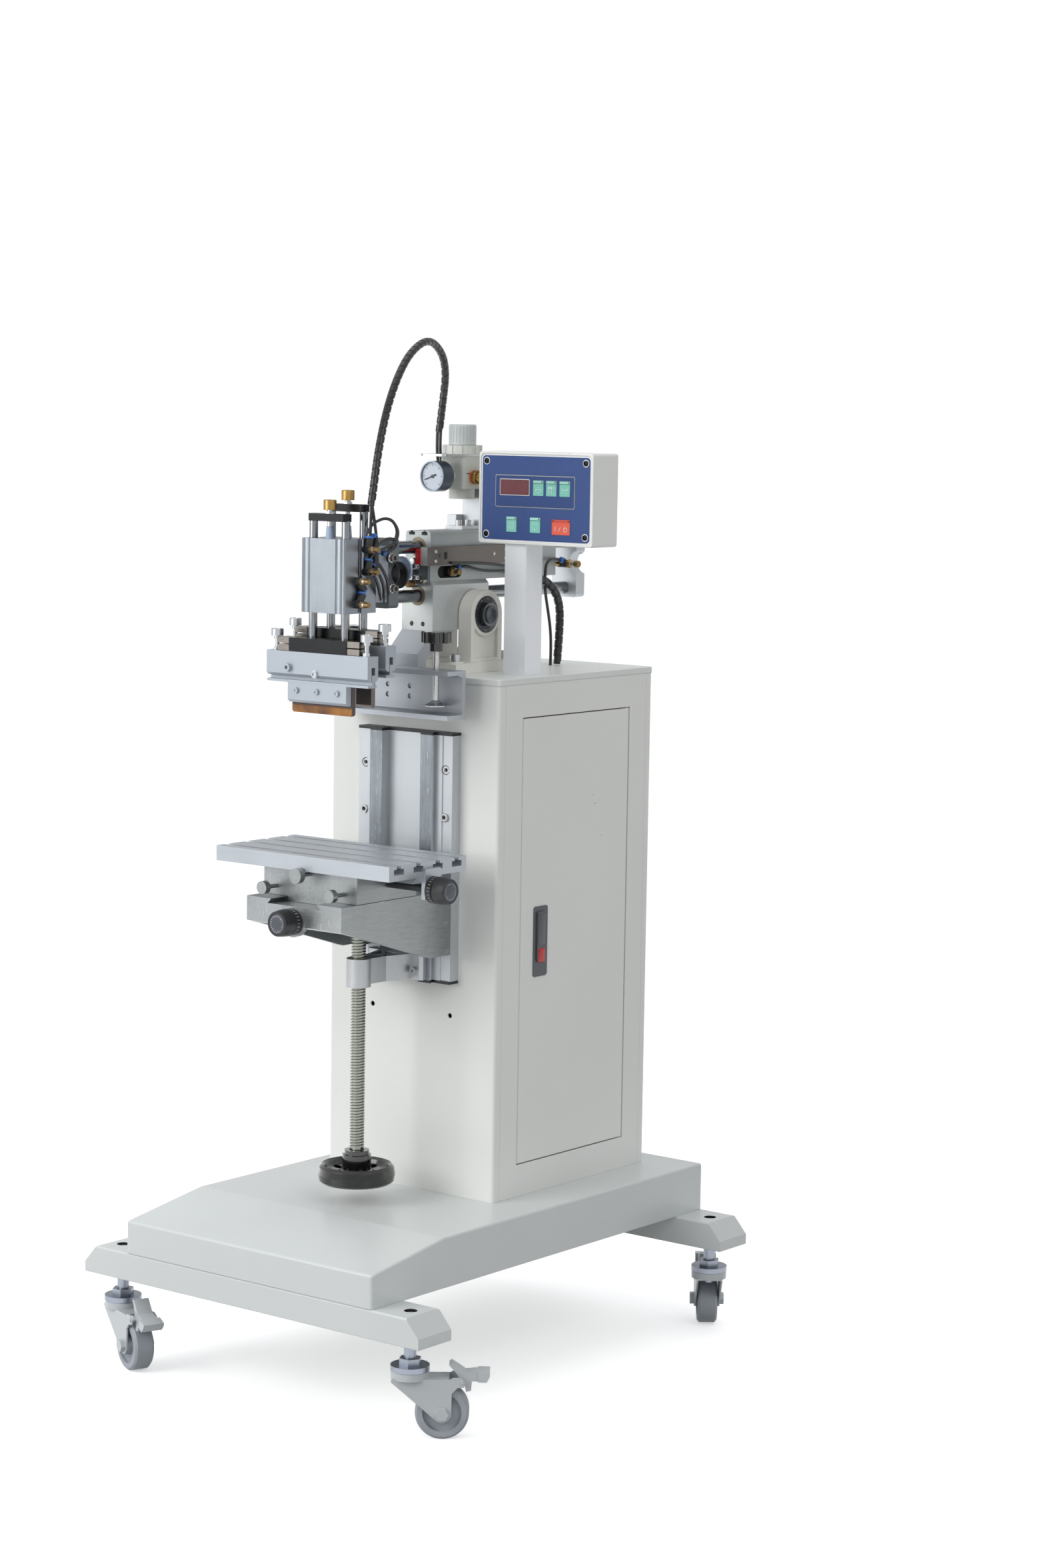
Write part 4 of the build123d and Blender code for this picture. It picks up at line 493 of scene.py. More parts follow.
# Table: extruded aluminium with T-slots, sawn to length and satin anodised, bolted to the milled
# saddle. Its drawn lines run crosswise and soften the light on its top.
satin_x = bare_metal("satin_aluminium_crosswise", "#B4B9BF", 0.40, (14.0, 900.0, 900.0), 0.08, 0.08,
    bare=0.6)
finish_solid(satin_x, "worktable")

# Feed knobs: black moulded grips with a graduated zinc ring and a blue-grey disc in the end, its white
# ticks printed; one faces the operator and one the right.
slate = moulded("slate_knob_disc", "#474D55", 0.35, 0.02)
print_white = moulded("white_print", "#EDEFEF", 0.5, 0.01)
finish_solid(black_moulded, "front_knob", "right_knob")
TICKS, GRIP = 24, 29.5
DISC_TICKS_OUT, RING_OUT, RING_AHEAD = 11.6, 18.0, 5.6
for knob, body, end, axis in (("front_knob", "front_knob", at(0, 86.7 - GRIP, 636.5),
            Vector(TO_FRONT)), ("right_knob", "right_knob", at(160.8 + GRIP, 186, 685.5),
            Vector(TO_RIGHT))):
    back = end - axis * GRIP * MM
    parts = [turned(knob + "_disc", end, axis, [(13.0, 0), (13.0, 0.25), (12.7, 0.4), (4.2, 0.4),
            (4.0, 0.7), (1.2, 0.8)], slate)]
    side = axis.orthogonal().normalized()
    for i in range(TICKS):
        out = Quaternion(axis, 2 * math.pi * i / TICKS) @ side
        stand = (out.to_track_quat("Z", "Y")).inverted() @ axis
        lean = math.degrees(math.atan2(-stand.x, stand.y))
        long = 2.6 if i % 4 == 0 else 1.5
        parts.append(plate("tick", end + out * (DISC_TICKS_OUT - long / 2) * MM + axis * 0.4 * MM,
                0.45, long, 0.08, print_white, axis, turn=math.degrees(
                (axis.to_track_quat("Z", "Y").inverted() @ out).to_2d().angle_signed(Vector((0, 1))))))
        parts.append(plate("grade", back + out * RING_OUT * MM + axis * RING_AHEAD * MM,
                0.5, 5.0 if i % 4 == 0 else 3.2, 0.06, print_white, out, turn=lean))
    disc = joined(knob + "_end_disc", parts)
    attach(disc, body)

# Pillow blocks: iron castings in cream enamel, arched over sealed bearings. Each seal is a dark ring
# with notches round a bright collar, locked by a set screw on the plain end of the pivot shaft.
cream = enamel("cream_casting_enamel", "#EEECE4", peel=0.3, peel_scale=260.0, rough=0.4, edge=2.0)
dark_steel = bare_metal("dark_steel", "#6B6E70", 0.34, EVEN, 0.10, 0.2)
seal_black = moulded("bearing_seal_rubber", "#20262E", 0.35, 0.03)
finish_solid(cream, "pillow_blocks")
finish_solid(dark_steel, "pivot_shaft")
refinish("pillow_blocks", zinc, lambda x, y, z: z > 970.3 and 8.7 > math.hypot(
    abs(x) - 39.75, min(abs(y - 374.5), abs(y - 479.9))))
TILT_Y, TILT_Z, NOTCH_OUT = 427.2, 1033.8, 22.0
for side in (-1, 1):
    axis = (side, 0, 0)
    parts = [turned("bearing_seal", at(0, TILT_Y, TILT_Z), axis,
            [(25.3, 49.5), (25.3, 50.4), (24.6, 50.8), (19.5, 50.8), (19.0, 50.2), (17.0, 50.2)],
            seal_black, 48)]
    for i in range(10):
        spoke = math.radians(36 * i + 12)
        spot = at(side * 50.75, TILT_Y + NOTCH_OUT * math.cos(spoke), TILT_Z + NOTCH_OUT * math.sin(spoke))
        parts.append(plate("seal_notch", spot, 3.4, 2.0, 0.15, dark_steel, axis, 0.6))
    parts.append(turned("collar_screw", at(side * 52.0, TILT_Y - 11.6, TILT_Z - 11.7), (0, -0.7, -0.7),
            [(2.6, 0), (2.6, 0.5), (1.5, 0.5), (1.5, 0.2)], dark_steel, 16))
    parts.append(turned("shaft_end", at(side * 60.4, TILT_Y, TILT_Z), axis,
            [(12.2, 0), (12.2, 0.15), (11.2, 0.3), (9.4, 0.3), (9.0, 0.1), (2.4, 0.1), (1.4, -0.3)],
            slate, 40))
    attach(joined("bearing_seal", parts), "head")

# Print head: squared aluminium body, satin along its length, on a machined block that tilts between the
# pillow blocks. A grey anodised plate closes the front; oil has stained the wipers round both rods.
satin_y = bare_metal("satin_aluminium_lengthwise", "#A6ABAB", 0.42, (900.0, 14.0, 900.0), 0.08, 0.08,
    bare=0.6)
brass = bare_metal("brass", "#B59258", 0.34, (60.0, 60.0, 400.0), 0.12, 0.15)
old_brass = bare_metal("tarnished_brass", "#92784F", 0.42, (90.0, 90.0, 300.0), 0.15, 0.3)
stained = bare_metal("oil_stained_wiper", "#8F8372", 0.45, EVEN, 0.12, 0.2, bare=0.5, stain="#4A3820")
collet_blue = moulded("blue_collet_plastic", "#3A78CC", 0.3)
nickel = bare_metal("nickel_plated_clip", "#85807A", 0.3, (200.0, 200.0, 900.0), 0.10, 0.15)
machined = bare_metal("machined_aluminium_block", "#C6CAC9", 0.4, EVEN, 0.08, 0.1, bare=0.6)
plate_grey = bare_metal("grey_anodised_plate", "#71777A", 0.4, EVEN, 0.06, 0.1, bare=0.6)
finish_solid(satin_y, "head_upper_body")
finish_solid(machined, "head_lower_body")
finish_solid(plate_grey, "stroke_end_cap")
PISTON_Z, PORT_Y, PORT_FLOOR = 1093, 382, 22.3
refinish("head_upper_body", brass, lambda x, y, z: x > PORT_FLOOR)
# Painted shade: the walls of the oblong pocket round the side port are painted black for the shade inside it.
refinish("head_upper_body", shade_and_print_black, lambda x, y, z: (
    14.5 < x < 21.9 and 354 < y < 408 and abs(z - PISTON_Z) < 8.6))
refinish("stroke_end_cap", stained, lambda x, y, z: y > 337.9 and abs(z - PISTON_Z) > 20)
refinish("stroke_end_cap", zinc, lambda x, y, z: y < 331.3 or (x > 11 and y < 334.3))
refinish("stroke_end_cap", old_brass, lambda x, y, z: y < 327 and z < 1085)
port = joined("side_port_control", [turned("port_body", at(16.0, PORT_Y, PISTON_Z), TO_RIGHT,
        [(6.4, 0), (6.4, 8.0), (5.6, 8.8)], black_moulded, 28),
        turned("port_hex", at(24.6, PORT_Y, PISTON_Z), TO_RIGHT,
        [(5.8, 0), (6.3, 0.6), (6.3, 4.6), (5.8, 5.2)], brass, 6),
        turned("port_ring", at(29.8, PORT_Y, PISTON_Z), TO_RIGHT,
        [(5.2, 0), (5.4, 0.3), (5.4, 1.6), (5.0, 2.0)], nickel, 28),
        turned("port_knob", at(31.8, PORT_Y, PISTON_Z), TO_RIGHT,
        [(2.6, 0), (2.6, 1.6), (3.8, 2.0), (4.0, 2.6), (4.0, 7.4), (3.4, 8.0)], old_brass, 18),
        turned("port_elbow", at(24.0, 386, 1095.0), (0.2, 1, 0.35), [(4.6, 0), (4.6, 7.0), (4.0, 8.0)],
        black_moulded, 24), turned("port_collet", at(25.8, 394.5, 1098.0), (0.2, 1, 0.35),
        [(3.6, -1.0), (4.4, 0), (4.4, 2.2), (3.6, 2.8), (2.2, 2.8)], collet_blue, 24)])
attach(port, "head")

# Channel: satin aluminium extrusion that holds the screen frame, screwed up under its bracket. Each
# clamp is a phenolic star on a nickel-plated M8 stud with a round pad.
finish_solid(satin_x, "channel_bracket", "screen_channel")
finish_solid(phenolic, "clamp_screw_left", "clamp_screw_right")
CLAMP_X, STUD_TOP = 79.0, 991.4
for clamp, x in (("clamp_left", -CLAMP_X), ("clamp_right", CLAMP_X)):
    refinish("clamp_screw" + clamp[5:], zinc, lambda x, y, z: z < STUD_TOP)
    stud = wound(clamp + "_thread", [(3.2, 0.1), (3.2, 1.15), (4.15, 0.55), (4.15, 0.7)], 1.25, 14, 20)
    stud.location = at(x, 285, 985.0)
    placed(stud, zinc)
    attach(stud, clamp)
back_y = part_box("screen_channel")[1][1] / MM - FRONT
parts = [turned("channel_screw", at(x, back_y - 0.4, z), TO_FRONT,
        [(3.4, 0.0), (3.4, 1.4), (2.9, 1.9), (1.5, 1.9), (1.4, 0.9)], zinc, 24) for x in (-19.7, 19.7)
    for z in (926.0, 940.0)]
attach(joined("channel_screws", parts), "head")

# Sensor rail: stainless strip with T-shaped end leg, rivets, a red limit switch and an oval slot; two
# black leads run below it to the rear.
stainless = bare_metal("stainless_strip", "#77726D", 0.32, (30.0, 60.0, 900.0), 0.10, 0.25, bare=0.9)
finish_solid(stainless, "sensor_rail")
refinish("sensor_rail", lock_red, lambda x, y, z: x < 18.6 and y < 328)
refinish("sensor_rail", machined, lambda x, y, z: 18.5 < x < 30.1 and y < 325.2)
STRIP_X = 30.0
parts = []
for y, z in ((341.0, 1122.0), (341.0, 1109.0), (468.0, 1116.0)):
    parts.append(turned("strip_rivet", at(STRIP_X, y, z), TO_RIGHT,
            [(2.6, 0), (2.6, 0.3), (2.1, 0.8), (1.0, 1.0)], zinc, 20))
# The oval slot is a thin black plate, painted shade for the opening.
parts.append(plate("strip_slot", at(STRIP_X, 362.0, 1116.0), 7.0, 11.0, 0.12, shade_and_print_black, TO_RIGHT, 3.4))
for z in (1121.0, 1109.0):
    parts.append(turned("strip_mark", at(STRIP_X, 493.0, z), TO_RIGHT, [(2.4, 0), (2.4, 0.1)],
            print_white, 3, 30.0))
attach(joined("sensor_rail_marks", parts), "head")


def hose(name, points, radius, finish):
    """Round hose or lead on one smooth NURBS line; control points in mm, the curve in metres."""
    line = bpy.data.curves.new(name, "CURVE")
    line.dimensions = "3D"
    line.bevel_depth = radius * MM
    line.bevel_resolution = 4
    line.resolution_u = 10
    line.use_fill_caps = True
    spline = line.splines.new("NURBS")
    spline.points.add(len(points) - 1)
    for point, (x, y, z) in zip(spline.points, points):
        point.co = (x * MM, (y + FRONT) * MM, z * MM, 1.0)
    spline.order_u = 3
    spline.use_endpoint_u = True
    line.materials.append(finish)
    piece = bpy.data.objects.new(name, line)
    bpy.context.scene.collection.objects.link(piece)
    return piece


def as_mesh(piece):
    """A curve piece turned into a mesh, still in place."""
    bpy.ops.object.select_all(action="DESELECT")
    piece.select_set(True)
    bpy.context.view_layer.objects.active = piece
    bpy.ops.object.convert(target="MESH")
    return bpy.context.object


hose_black = moulded("black_hose", "#141518", 0.3, 0.03, coat=0.2)
for name, points in (("upper_sensor_lead", [(31.5, 372, 1106), (31.8, 392, 1104.8),
            (31.5, 420, 1104.4), (31.5, 449, 1102.9), (31.5, 491, 1099), (31.8, 512, 1092),
            (32, 525, 1086)]), ("lower_sensor_lead", [(26.4, 397, 1098.8), (28.5, 407, 1101),
            (31.6, 424, 1096.5), (31.6, 445, 1092.6), (31.6, 470, 1091.5), (31.8, 495, 1091.5),
            (32, 520, 1085)])):
    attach(hose(name, points, 1.9, hose_black), "head")

# Guide rods and piston rod: ground and hard-chromed steel. The piston rod carries a black rubber bumper,
# lock nut and disc, and a cloudy graduated dial that a steel lever turns.
chrome = bare_metal("chromed_rod", "#8F9295", 0.16, (60.0, 60.0, 60.0), 0.02, 0.06)
cloudy = moulded("translucent_dial_plastic", "#A6B8D0", 0.5, 0.03)
finish_solid(chrome, "guide_rods", "piston_rod")
ROD_R = 8.4
refinish("piston_rod", black_moulded, lambda x, y, z: y < 298 and math.hypot(x, z - PISTON_Z) > ROD_R)
refinish("piston_rod", cloudy, lambda x, y, z: 302.4 < y < 305.6 and math.hypot(x, z - PISTON_Z) > ROD_R)
refinish("piston_rod", dark_steel, lambda x, y, z: 305.5 < y < 308.6)
DIAL_Y, DIAL_Z, MARKS_OUT = 302.45, 1097.0, 17.6
parts = []
for i in range(36):
    turn = 10.0 * i
    long = 3.4 if i % 3 == 0 else 1.8
    out = MARKS_OUT - long / 2
    spot = at(out * math.cos(math.radians(turn)), DIAL_Y, DIAL_Z + out * math.sin(math.radians(turn)))
    parts.append(plate("dial_mark", spot, 0.5, long, 0.06, black_moulded, turn=turn - 90.0))
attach(joined("stroke_dial_marks", parts), "carriage")
finish_solid(plate_grey, "carriage_front_plate")
finish_solid(satin_z, "carriage_rear_plate")
# Rod clamp bolts: washer and hex bolt, with a black disc in each head as painted shade for its socket.
parts = []
for y, z in ((256.2, 1115.2), (259.0, 1073.9)):
    parts.append(turned("rod_clamp_washer", at(22.0, y, z), TO_RIGHT,
            [(6.6, 0), (6.6, 1.4), (6.0, 1.8)], zinc, 28))
    parts.append(turned("rod_clamp_bolt", at(23.8, y, z), TO_RIGHT,
            [(5.4, 0), (5.7, 0.4), (5.7, 4.6), (5.0, 5.2)], nickel, 6, 15.0))
    parts.append(turned("rod_clamp_socket", at(29.0, y, z), TO_RIGHT, [(3.4, 0), (3.4, 0.15)],
            shade_and_print_black, 24))
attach(joined("rod_clamp_bolts", parts), "carriage")

# Print units: brushed aluminium twin-rod cylinders with brass flow controls, black anodised slide bars,
# chromed rods, nickel clips, light grey-blue anodised holders and bright level screws.
brushed = bare_metal("brushed_aluminium_block", "#92989E", 0.34, (1100.0, 1100.0, 10.0), 0.25, 0.22)
black_anodised = bare_metal("black_anodised_aluminium", "#17181A", 0.32, (60.0, 500.0, 500.0), 0.08,
    0.2, bare=0.5)
bright = bare_metal("bright_nickel_screw", "#C6C9CC", 0.22, EVEN, 0.05, 0.08, bare=0.85)
pale_anodised = bare_metal("pale_anodised_aluminium", "#A9B0B8", 0.45, (12.0, 900.0, 900.0), 0.05,
    0.05, bare=0.45)
LEVEL_X, ROD_X, ELBOW_OUT, ELBOW_R = 79.3, 28.5, 48.3, 7.0
for unit, uy, lift, ports in (("squeegee", 156.0, 0.0, ((165.0, 1057.0), (165.0, 1087.8))),
        ("flood", 192.0, 12.3, ((183.0, 1099.8), (183.0, 1129.5)))):
    finish_solid(brushed, unit + "_cylinder")
    finish_solid(black_anodised, unit + "_slide")
    finish_solid(pale_anodised, unit + "_holder")
    refinish(unit + "_slide", chrome,
             lambda x, y, z: 1010.2 < z - lift < 1165.9 and abs(abs(x) - ROD_X) < 6.2)
    refinish(unit + "_slide", zinc, lambda x, y, z: 1020 < z - lift < 1165.9 and abs(x) < 5)
    refinish(unit + "_slide", zinc, lambda x, y, z: z - lift > 1176.1)
    refinish(unit + "_slide", brass, lambda x, y, z: z - lift > 1180.9)
    refinish(unit + "_slide", nickel, lambda x, y, z: z - lift < 1011 and abs(x) > 51.1)
    refinish(unit + "_cylinder", black_moulded, lambda x, y, z: x > 38.7)
    refinish(unit + "_cylinder", brass, lambda x, y, z: x > ELBOW_OUT and min(
        math.hypot(y - port_y, z - port_z) for port_y, port_z in ports) < ELBOW_R)
    refinish(unit + "_cylinder", zinc, lambda x, y, z: 52.7 < x < 55.7)
    refinish(unit + "_cylinder", old_brass, lambda x, y, z: x > 55.5)
    refinish(unit + "_cylinder", cloudy, lambda x, y, z: z > 1143.4 and abs(x) < 6.5)
    refinish(unit + "_holder", bright, lambda x, y, z: z - lift > 992.1)
    # The screwdriver slot in the knob top is a thin black plate, painted shade for the slot.
    slot_cut = plate("knob_slot", at(0, uy, 1194.5 + lift), 1.6, 14.0, 0.1, shade_and_print_black, UP, 0.3,
        turn=25.0)
    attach(slot_cut, unit)
    for x in (-LEVEL_X, LEVEL_X):
        cap = turned("level_screw_head", at(x, uy - 14.5, 1019.4 + lift), UP,
            [(8.3, 0), (8.3, 0.4), (7.6, 0.9), (4.2, 0.9), (4.0, 0.3)], bright, 36)
        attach(cap, unit)
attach(turned("holder_screw", at(-2.9, 132.0, 963.5), TO_FRONT,
        [(5.6, 0), (5.6, 1.2), (4.8, 1.2), (4.8, 3.0), (4.2, 3.4), (2.5, 3.4), (2.3, 1.6)], bright,
        28), "squeegee")
for x in (-36.0, 0.0, 36.0):
    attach(turned("jaw_screw", at(x, 132.5, 940.0), TO_FRONT,
            [(4.0, -0.1), (4.0, 2.4), (3.5, 2.9), (2.0, 2.9), (1.9, 1.4)], zinc, 24), "squeegee")
finish_solid(stainless, "flood_blade")

# Squeegee: cast polyurethane strip, amber and a little clear at the lip, dark brown above it and at its
# ends, with streaks where ink has soaked in.
amber = moulded("amber_polyurethane", "#C2700E", 0.18, 0.02, coat=0.3)
amber_tree = amber.node_tree
amber_coords = add_node(amber_tree, "ShaderNodeTexCoord").outputs["Object"]
streaks = add_node(amber_tree, "ShaderNodeMapping", {"Vector": amber_coords, "Scale": (26.0, 60.0, 18.0)})
soaked = noise(amber_tree, streaks.outputs["Vector"], 1.0, 4.0)
amber_tone = tone_between(amber_tree, soaked, 0.38, srgb("#6B3D0C"), 0.56, srgb("#C07C16"))
LIP_TOP = 0.92            # height in metres where the clear lip ends
lip = add_node(amber_tree, "ShaderNodeSeparateXYZ", {"Vector": amber_coords})
up_blade = ranged(amber_tree, lip.outputs["Z"], LIP_TOP - 0.0015, LIP_TOP + 0.0015)
two_tone = colour_mix(amber_tree, up_blade, amber_tone, srgb("#3F2210"))
feed(amber_tree, amber_tree.nodes["Principled BSDF"],
    {"Base Color": two_tone, "Transmission Weight": 0.2, "IOR": 1.5})
soaked_end = moulded("ink_soaked_polyurethane", "#3A1A10", 0.25, 0.02, coat=0.3)
finish_solid(amber, "squeegee_blade")
refinish("squeegee_blade", soaked_end, lambda x, y, z: abs(x) > 52.9)

# Air regulator: light grey die-cast body with a moulded bowl, ribbed ring and knob on a zinc-plated
# plate, brass fitting with an orange seal, and a pressure gauge in a blue-grey case.
regulator_grey = moulded("light_grey_regulator", "#C9CCC5", 0.45, 0.05, edge=1.0)
knob_grey = moulded("mid_grey_knob", "#BCC1C1", 0.4, 0.05, edge=1.0)
seal_orange = moulded("orange_seal", "#D9622B", 0.4)
gauge_case = moulded("blue_grey_gauge_case", "#39434F", 0.35)
gauge_bezel = moulded("pale_bezel", "#A9B6C6", 0.3)
dial_white = moulded("gauge_dial_white", "#C9D2DC", 0.4, 0.01)
# The control post gets its own copy of the satin aluminium. It is much lighter and less metallic than the
# regulator post's, as painted light for its brightly lit front.
lit_post_satin = bare_metal("satin_aluminium_post_with_painted_light", "#F2F4F6", 0.5, (900.0, 900.0, 14.0), 0.06, 0.06,
    bare=0.3)
finish_solid(satin_z, "regulator_post")
finish_solid(lit_post_satin, "control_post")
finish_solid(regulator_grey, "regulator_body")
finish_solid(knob_grey, "regulator_knob")
finish_solid(gauge_case, "gauge")
refinish("regulator_body", zinc, lambda x, y, z: 1250.9 < z < 1254.1 and abs(x) < 24)
refinish("regulator_body", brass, lambda x, y, z: x > 21.6 and z < 1240)
refinish("regulator_body", black_moulded, lambda x, y, z: x < -21.6 and z < 1240)
refinish("regulator_post", zinc, lambda x, y, z: z > 1154.7 and y < 446 and x > -5)
refinish("gauge", gauge_bezel, lambda x, y, z: y < 366.3)
parts = [turned("fitting_seal", at(21.6, 430.5, 1222), TO_RIGHT,
        [(9.4, 0), (9.6, 0.4), (9.6, 1.9), (9.0, 2.2)], seal_orange, 40)]
parts.append(plate("regulator_slot", at(21.5, 430.5, 1227.0), 30.0, 1.2, 0.1, shade_and_print_black, TO_RIGHT, 0.4))
parts.append(turned("fitting_nut", at(24.0, 430.5, 1222), TO_RIGHT,
        [(9.5, 0.2), (9.9, 1.0), (9.9, 5.2), (9.2, 6.0)], brass, 6))
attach(joined("regulator_fitting", parts), "head")
GAUGE_Z = 1223.5
parts = [turned("gauge_dial", at(0, 368.4, GAUGE_Z), TO_FRONT, [(18.8, 0), (18.8, 0.1)], dial_white, 48)]
for i in range(31):
    turn = 225.0 - 9.0 * i
    out = Vector((math.cos(math.radians(turn)), 0, math.sin(math.radians(turn))))
    long = 3.4 if i % 5 == 0 else 1.8
    parts.append(plate("dial_tick", at(0, 368.3, GAUGE_Z) + out * (17.2 - long / 2) * MM,
            0.75 if i % 5 == 0 else 0.35, long, 0.06, black_moulded, TO_FRONT, turn=turn - 90.0))
NEEDLE_Y = 367.4
needle_turn = 200.0
reach = Vector((math.cos(math.radians(needle_turn)), 0, math.sin(math.radians(needle_turn))))
parts.append(plate("needle", at(0, NEEDLE_Y, GAUGE_Z) + reach * 5.0 * MM, 1.3, 19.0, 0.25,
        black_moulded, TO_FRONT, turn=needle_turn - 90.0))
parts.append(plate("needle_tail", at(0, NEEDLE_Y, GAUGE_Z) - reach * 5.2 * MM, 2.6, 2.6, 0.25,
        black_moulded, TO_FRONT, turn=needle_turn - 45.0))
parts.append(turned("needle_hub", at(0, 367.6, GAUGE_Z), TO_FRONT, [(2.4, 0), (2.4, 0.6), (1.8, 0.9)],
        gauge_case, 20))
parts.append(turned("gauge_rim", at(0, 366.0, GAUGE_Z), TO_FRONT,
        [(20.8, -0.1), (20.6, 0.3), (19.2, 0.3), (18.9, -0.6)], gauge_bezel, 48))
# The rim is a ring, so its middle stays open over the dial.
rim = parts[-1]
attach(joined("gauge_face", parts[:-1]), "head")
bpy.ops.object.select_all(action="DESELECT")
bpy.context.view_layer.objects.active = rim
bpy.ops.object.mode_set(mode="EDIT")
bpy.ops.mesh.select_all(action="DESELECT")
bpy.ops.object.mode_set(mode="OBJECT")
for face in rim.data.polygons:
    face.select = len(face.vertices) > 8
bpy.ops.object.mode_set(mode="EDIT")
bpy.ops.mesh.delete(type="FACE")
bpy.ops.object.mode_set(mode="OBJECT")
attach(rim, "head")

# Control box: folded steel in ivory coat with a printed polyester overlay: navy, white-edged, with
# mint and orange-red keys, a dark red display window and cream outline, held by black socket screws.
finish_solid(ivory, "control_box")
navy = moulded("navy_overlay", "#264580", 0.6, 0.04, 1200.0)
mint = moulded("mint_key", "#7CCBB9", 0.4, 0.03)
mint_light = moulded("light_mint_key_header", "#A3DCCF", 0.4, 0.03)
key_red = moulded("orange_red_key", "#E4573D", 0.4, 0.03)
key_red_dark = moulded("dark_red_key_header", "#C9412C", 0.4, 0.03)
window_red = moulded("display_window", "#65202A", 0.45, 0.01)
digit_red = moulded("unlit_digit", "#85343A", 0.3)
cream_print = moulded("cream_print", "#D9D6B8", 0.5, 0.01)
screw_black = bare_metal("black_oxide_screw", "#232427", 0.3, EVEN, 0.05)
OVERLAY_Y = 400.2
PANEL_X, PANEL_Z = 155.0, 1196.75
OUTLINE_X, OUTLINE_Z = 153.55, 1206.25
WINDOW_X, WINDOW_Z = 119.1, 1211.55
RED_X, RED_Z = 199.3, 1159.6
POWER_X, POWER_Z = 207.0, 1156.6


def on_panel(name, x, z, width, height, finish, layer=1, corner=0.0, turn=0.0):
    """Printed patch or key on the overlay, centred at x and z; a higher layer lies in front."""
    return plate(name, at(x, OVERLAY_Y - 0.18 * layer, z), width, height, 0.12, finish, corner=corner,
        turn=turn)


parts = [on_panel("overlay_edge", PANEL_X, PANEL_Z, 188.6, 118.1, print_white, 0, 6.0),
         on_panel("overlay", PANEL_X, PANEL_Z, 184.8, 114.3, navy, 1, 5.4),
         on_panel("outline", OUTLINE_X, OUTLINE_Z, 136.1, 43.5, cream_print, 2, 2.6),
         on_panel("outline_inside", OUTLINE_X, OUTLINE_Z, 134.7, 42.1, navy, 3, 2.2),
         on_panel("window_frame", WINDOW_X, WINDOW_Z, 51.4, 22.4, print_white, 4, 1.4),
         on_panel("window", WINDOW_X, WINDOW_Z, 49.6, 20.6, window_red, 5, 0.8)]
for x, z, kind in ((159.8, 1211.2, "rise"), (182.1, 1211.2, "blades"), (204.9, 1211.2, "span"),
        (114.4, 1161.0, "loop"), (155.2, 1161.0, "dotted")):
    parts += [on_panel("key", x, z, 17.6, 20.6, mint, 4, 1.0),
        on_panel("header", x, z + 8.5, 17.6, 3.6, mint_light, 5, 0.8),
        on_panel("key_lamp", x + 6.6, z + 8.5, 1.9, 1.9, shade_and_print_black, 6, 0.9),
        on_panel("key_line", x, z + 6.3, 17.6, 0.35, shade_and_print_black, 6)]
    strokes = {
        "rise": [(0, 3.0, 1.4, 1.4), (0, -0.2, 9.0, 0.7), (-4.4, -1.6, 0.7, 2.2), (4.4, -1.6, 0.7, 2.2),
                 (0, -4.4, 1.4, 1.4)],
        "blades": [(-3.6, 2.6, 2.6, 2.6), (0.4, 2.6, 2.6, 2.6), (-3.6, -2.6, 0.7, 7.0), (0.4, -2.6, 0.7, 7.0),
                   (4.6, 2.6, 1.3, 1.3), (4.6, -5.0, 1.3, 1.3)],
        "span": [(0, 0.2, 9.6, 0.7), (-4.8, 1.5, 0.7, 2.2), (4.8, 1.5, 0.7, 2.2), (-3.0, -3.4, 1.3, 1.3),
                 (3.0, -3.4, 1.3, 1.3)],
        "loop": [(0, 3.6, 7.0, 0.8), (-3.6, -0.5, 0.8, 7.6), (3.6, -0.2, 0.8, 7.0), (1.2, -4.0, 4.4, 0.8),
                 (-1.0, -4.0, 2.2, 2.2)],
        "dotted": [(-3.6 + 1.8 * k, 3.6, 0.9, 0.8) for k in range(5)] + [
            (-3.7, 1.6 - 2.0 * k, 0.8, 0.9) for k in range(4)] + [
            (3.7, 1.6 - 2.0 * k, 0.8, 0.9) for k in range(3)] + [(-0.6, -4.4, 2.0, 2.0)]}[kind]
    for dx, dz, w, h in strokes:
        parts.append(on_panel("symbol", x + dx, z - 1.6 + dz, w, h, print_white, 6, min(w, h) * 0.3))
parts += [on_panel("red_key", RED_X, RED_Z, 30.6, 20.6, key_red, 4, 1.0),
          on_panel("red_header", RED_X, RED_Z + 8.3, 30.6, 3.8, key_red_dark, 5, 0.8),
          on_panel("on_mark", 189.9, 1157.2, 0.9, 6.2, print_white, 6, 0.3),
          on_panel("slash", 197.3, 1157.2, 0.8, 7.0, print_white, 6, 0.3, turn=-28.0),
          on_panel("power_stem", POWER_X, RED_Z, 0.8, 3.6, print_white, 8, 0.3)]
for x in (186.0, 212.4):
    parts.append(on_panel("red_key_lamp", x, RED_Z + 8.3, 1.9, 1.9, shade_and_print_black, 6, 0.9))
parts += [turned("power_ring", at(POWER_X, OVERLAY_Y - 1.08, POWER_Z), TO_FRONT,
        [(3.3, 0), (3.3, 0.1)], print_white, 24), turned("power_eye",
        at(POWER_X, OVERLAY_Y - 1.26, POWER_Z), TO_FRONT, [(2.5, 0), (2.5, 0.1)], key_red, 24),
    on_panel("power_gap", POWER_X, 1160.0, 2.4, 1.8, key_red, 7.5)]
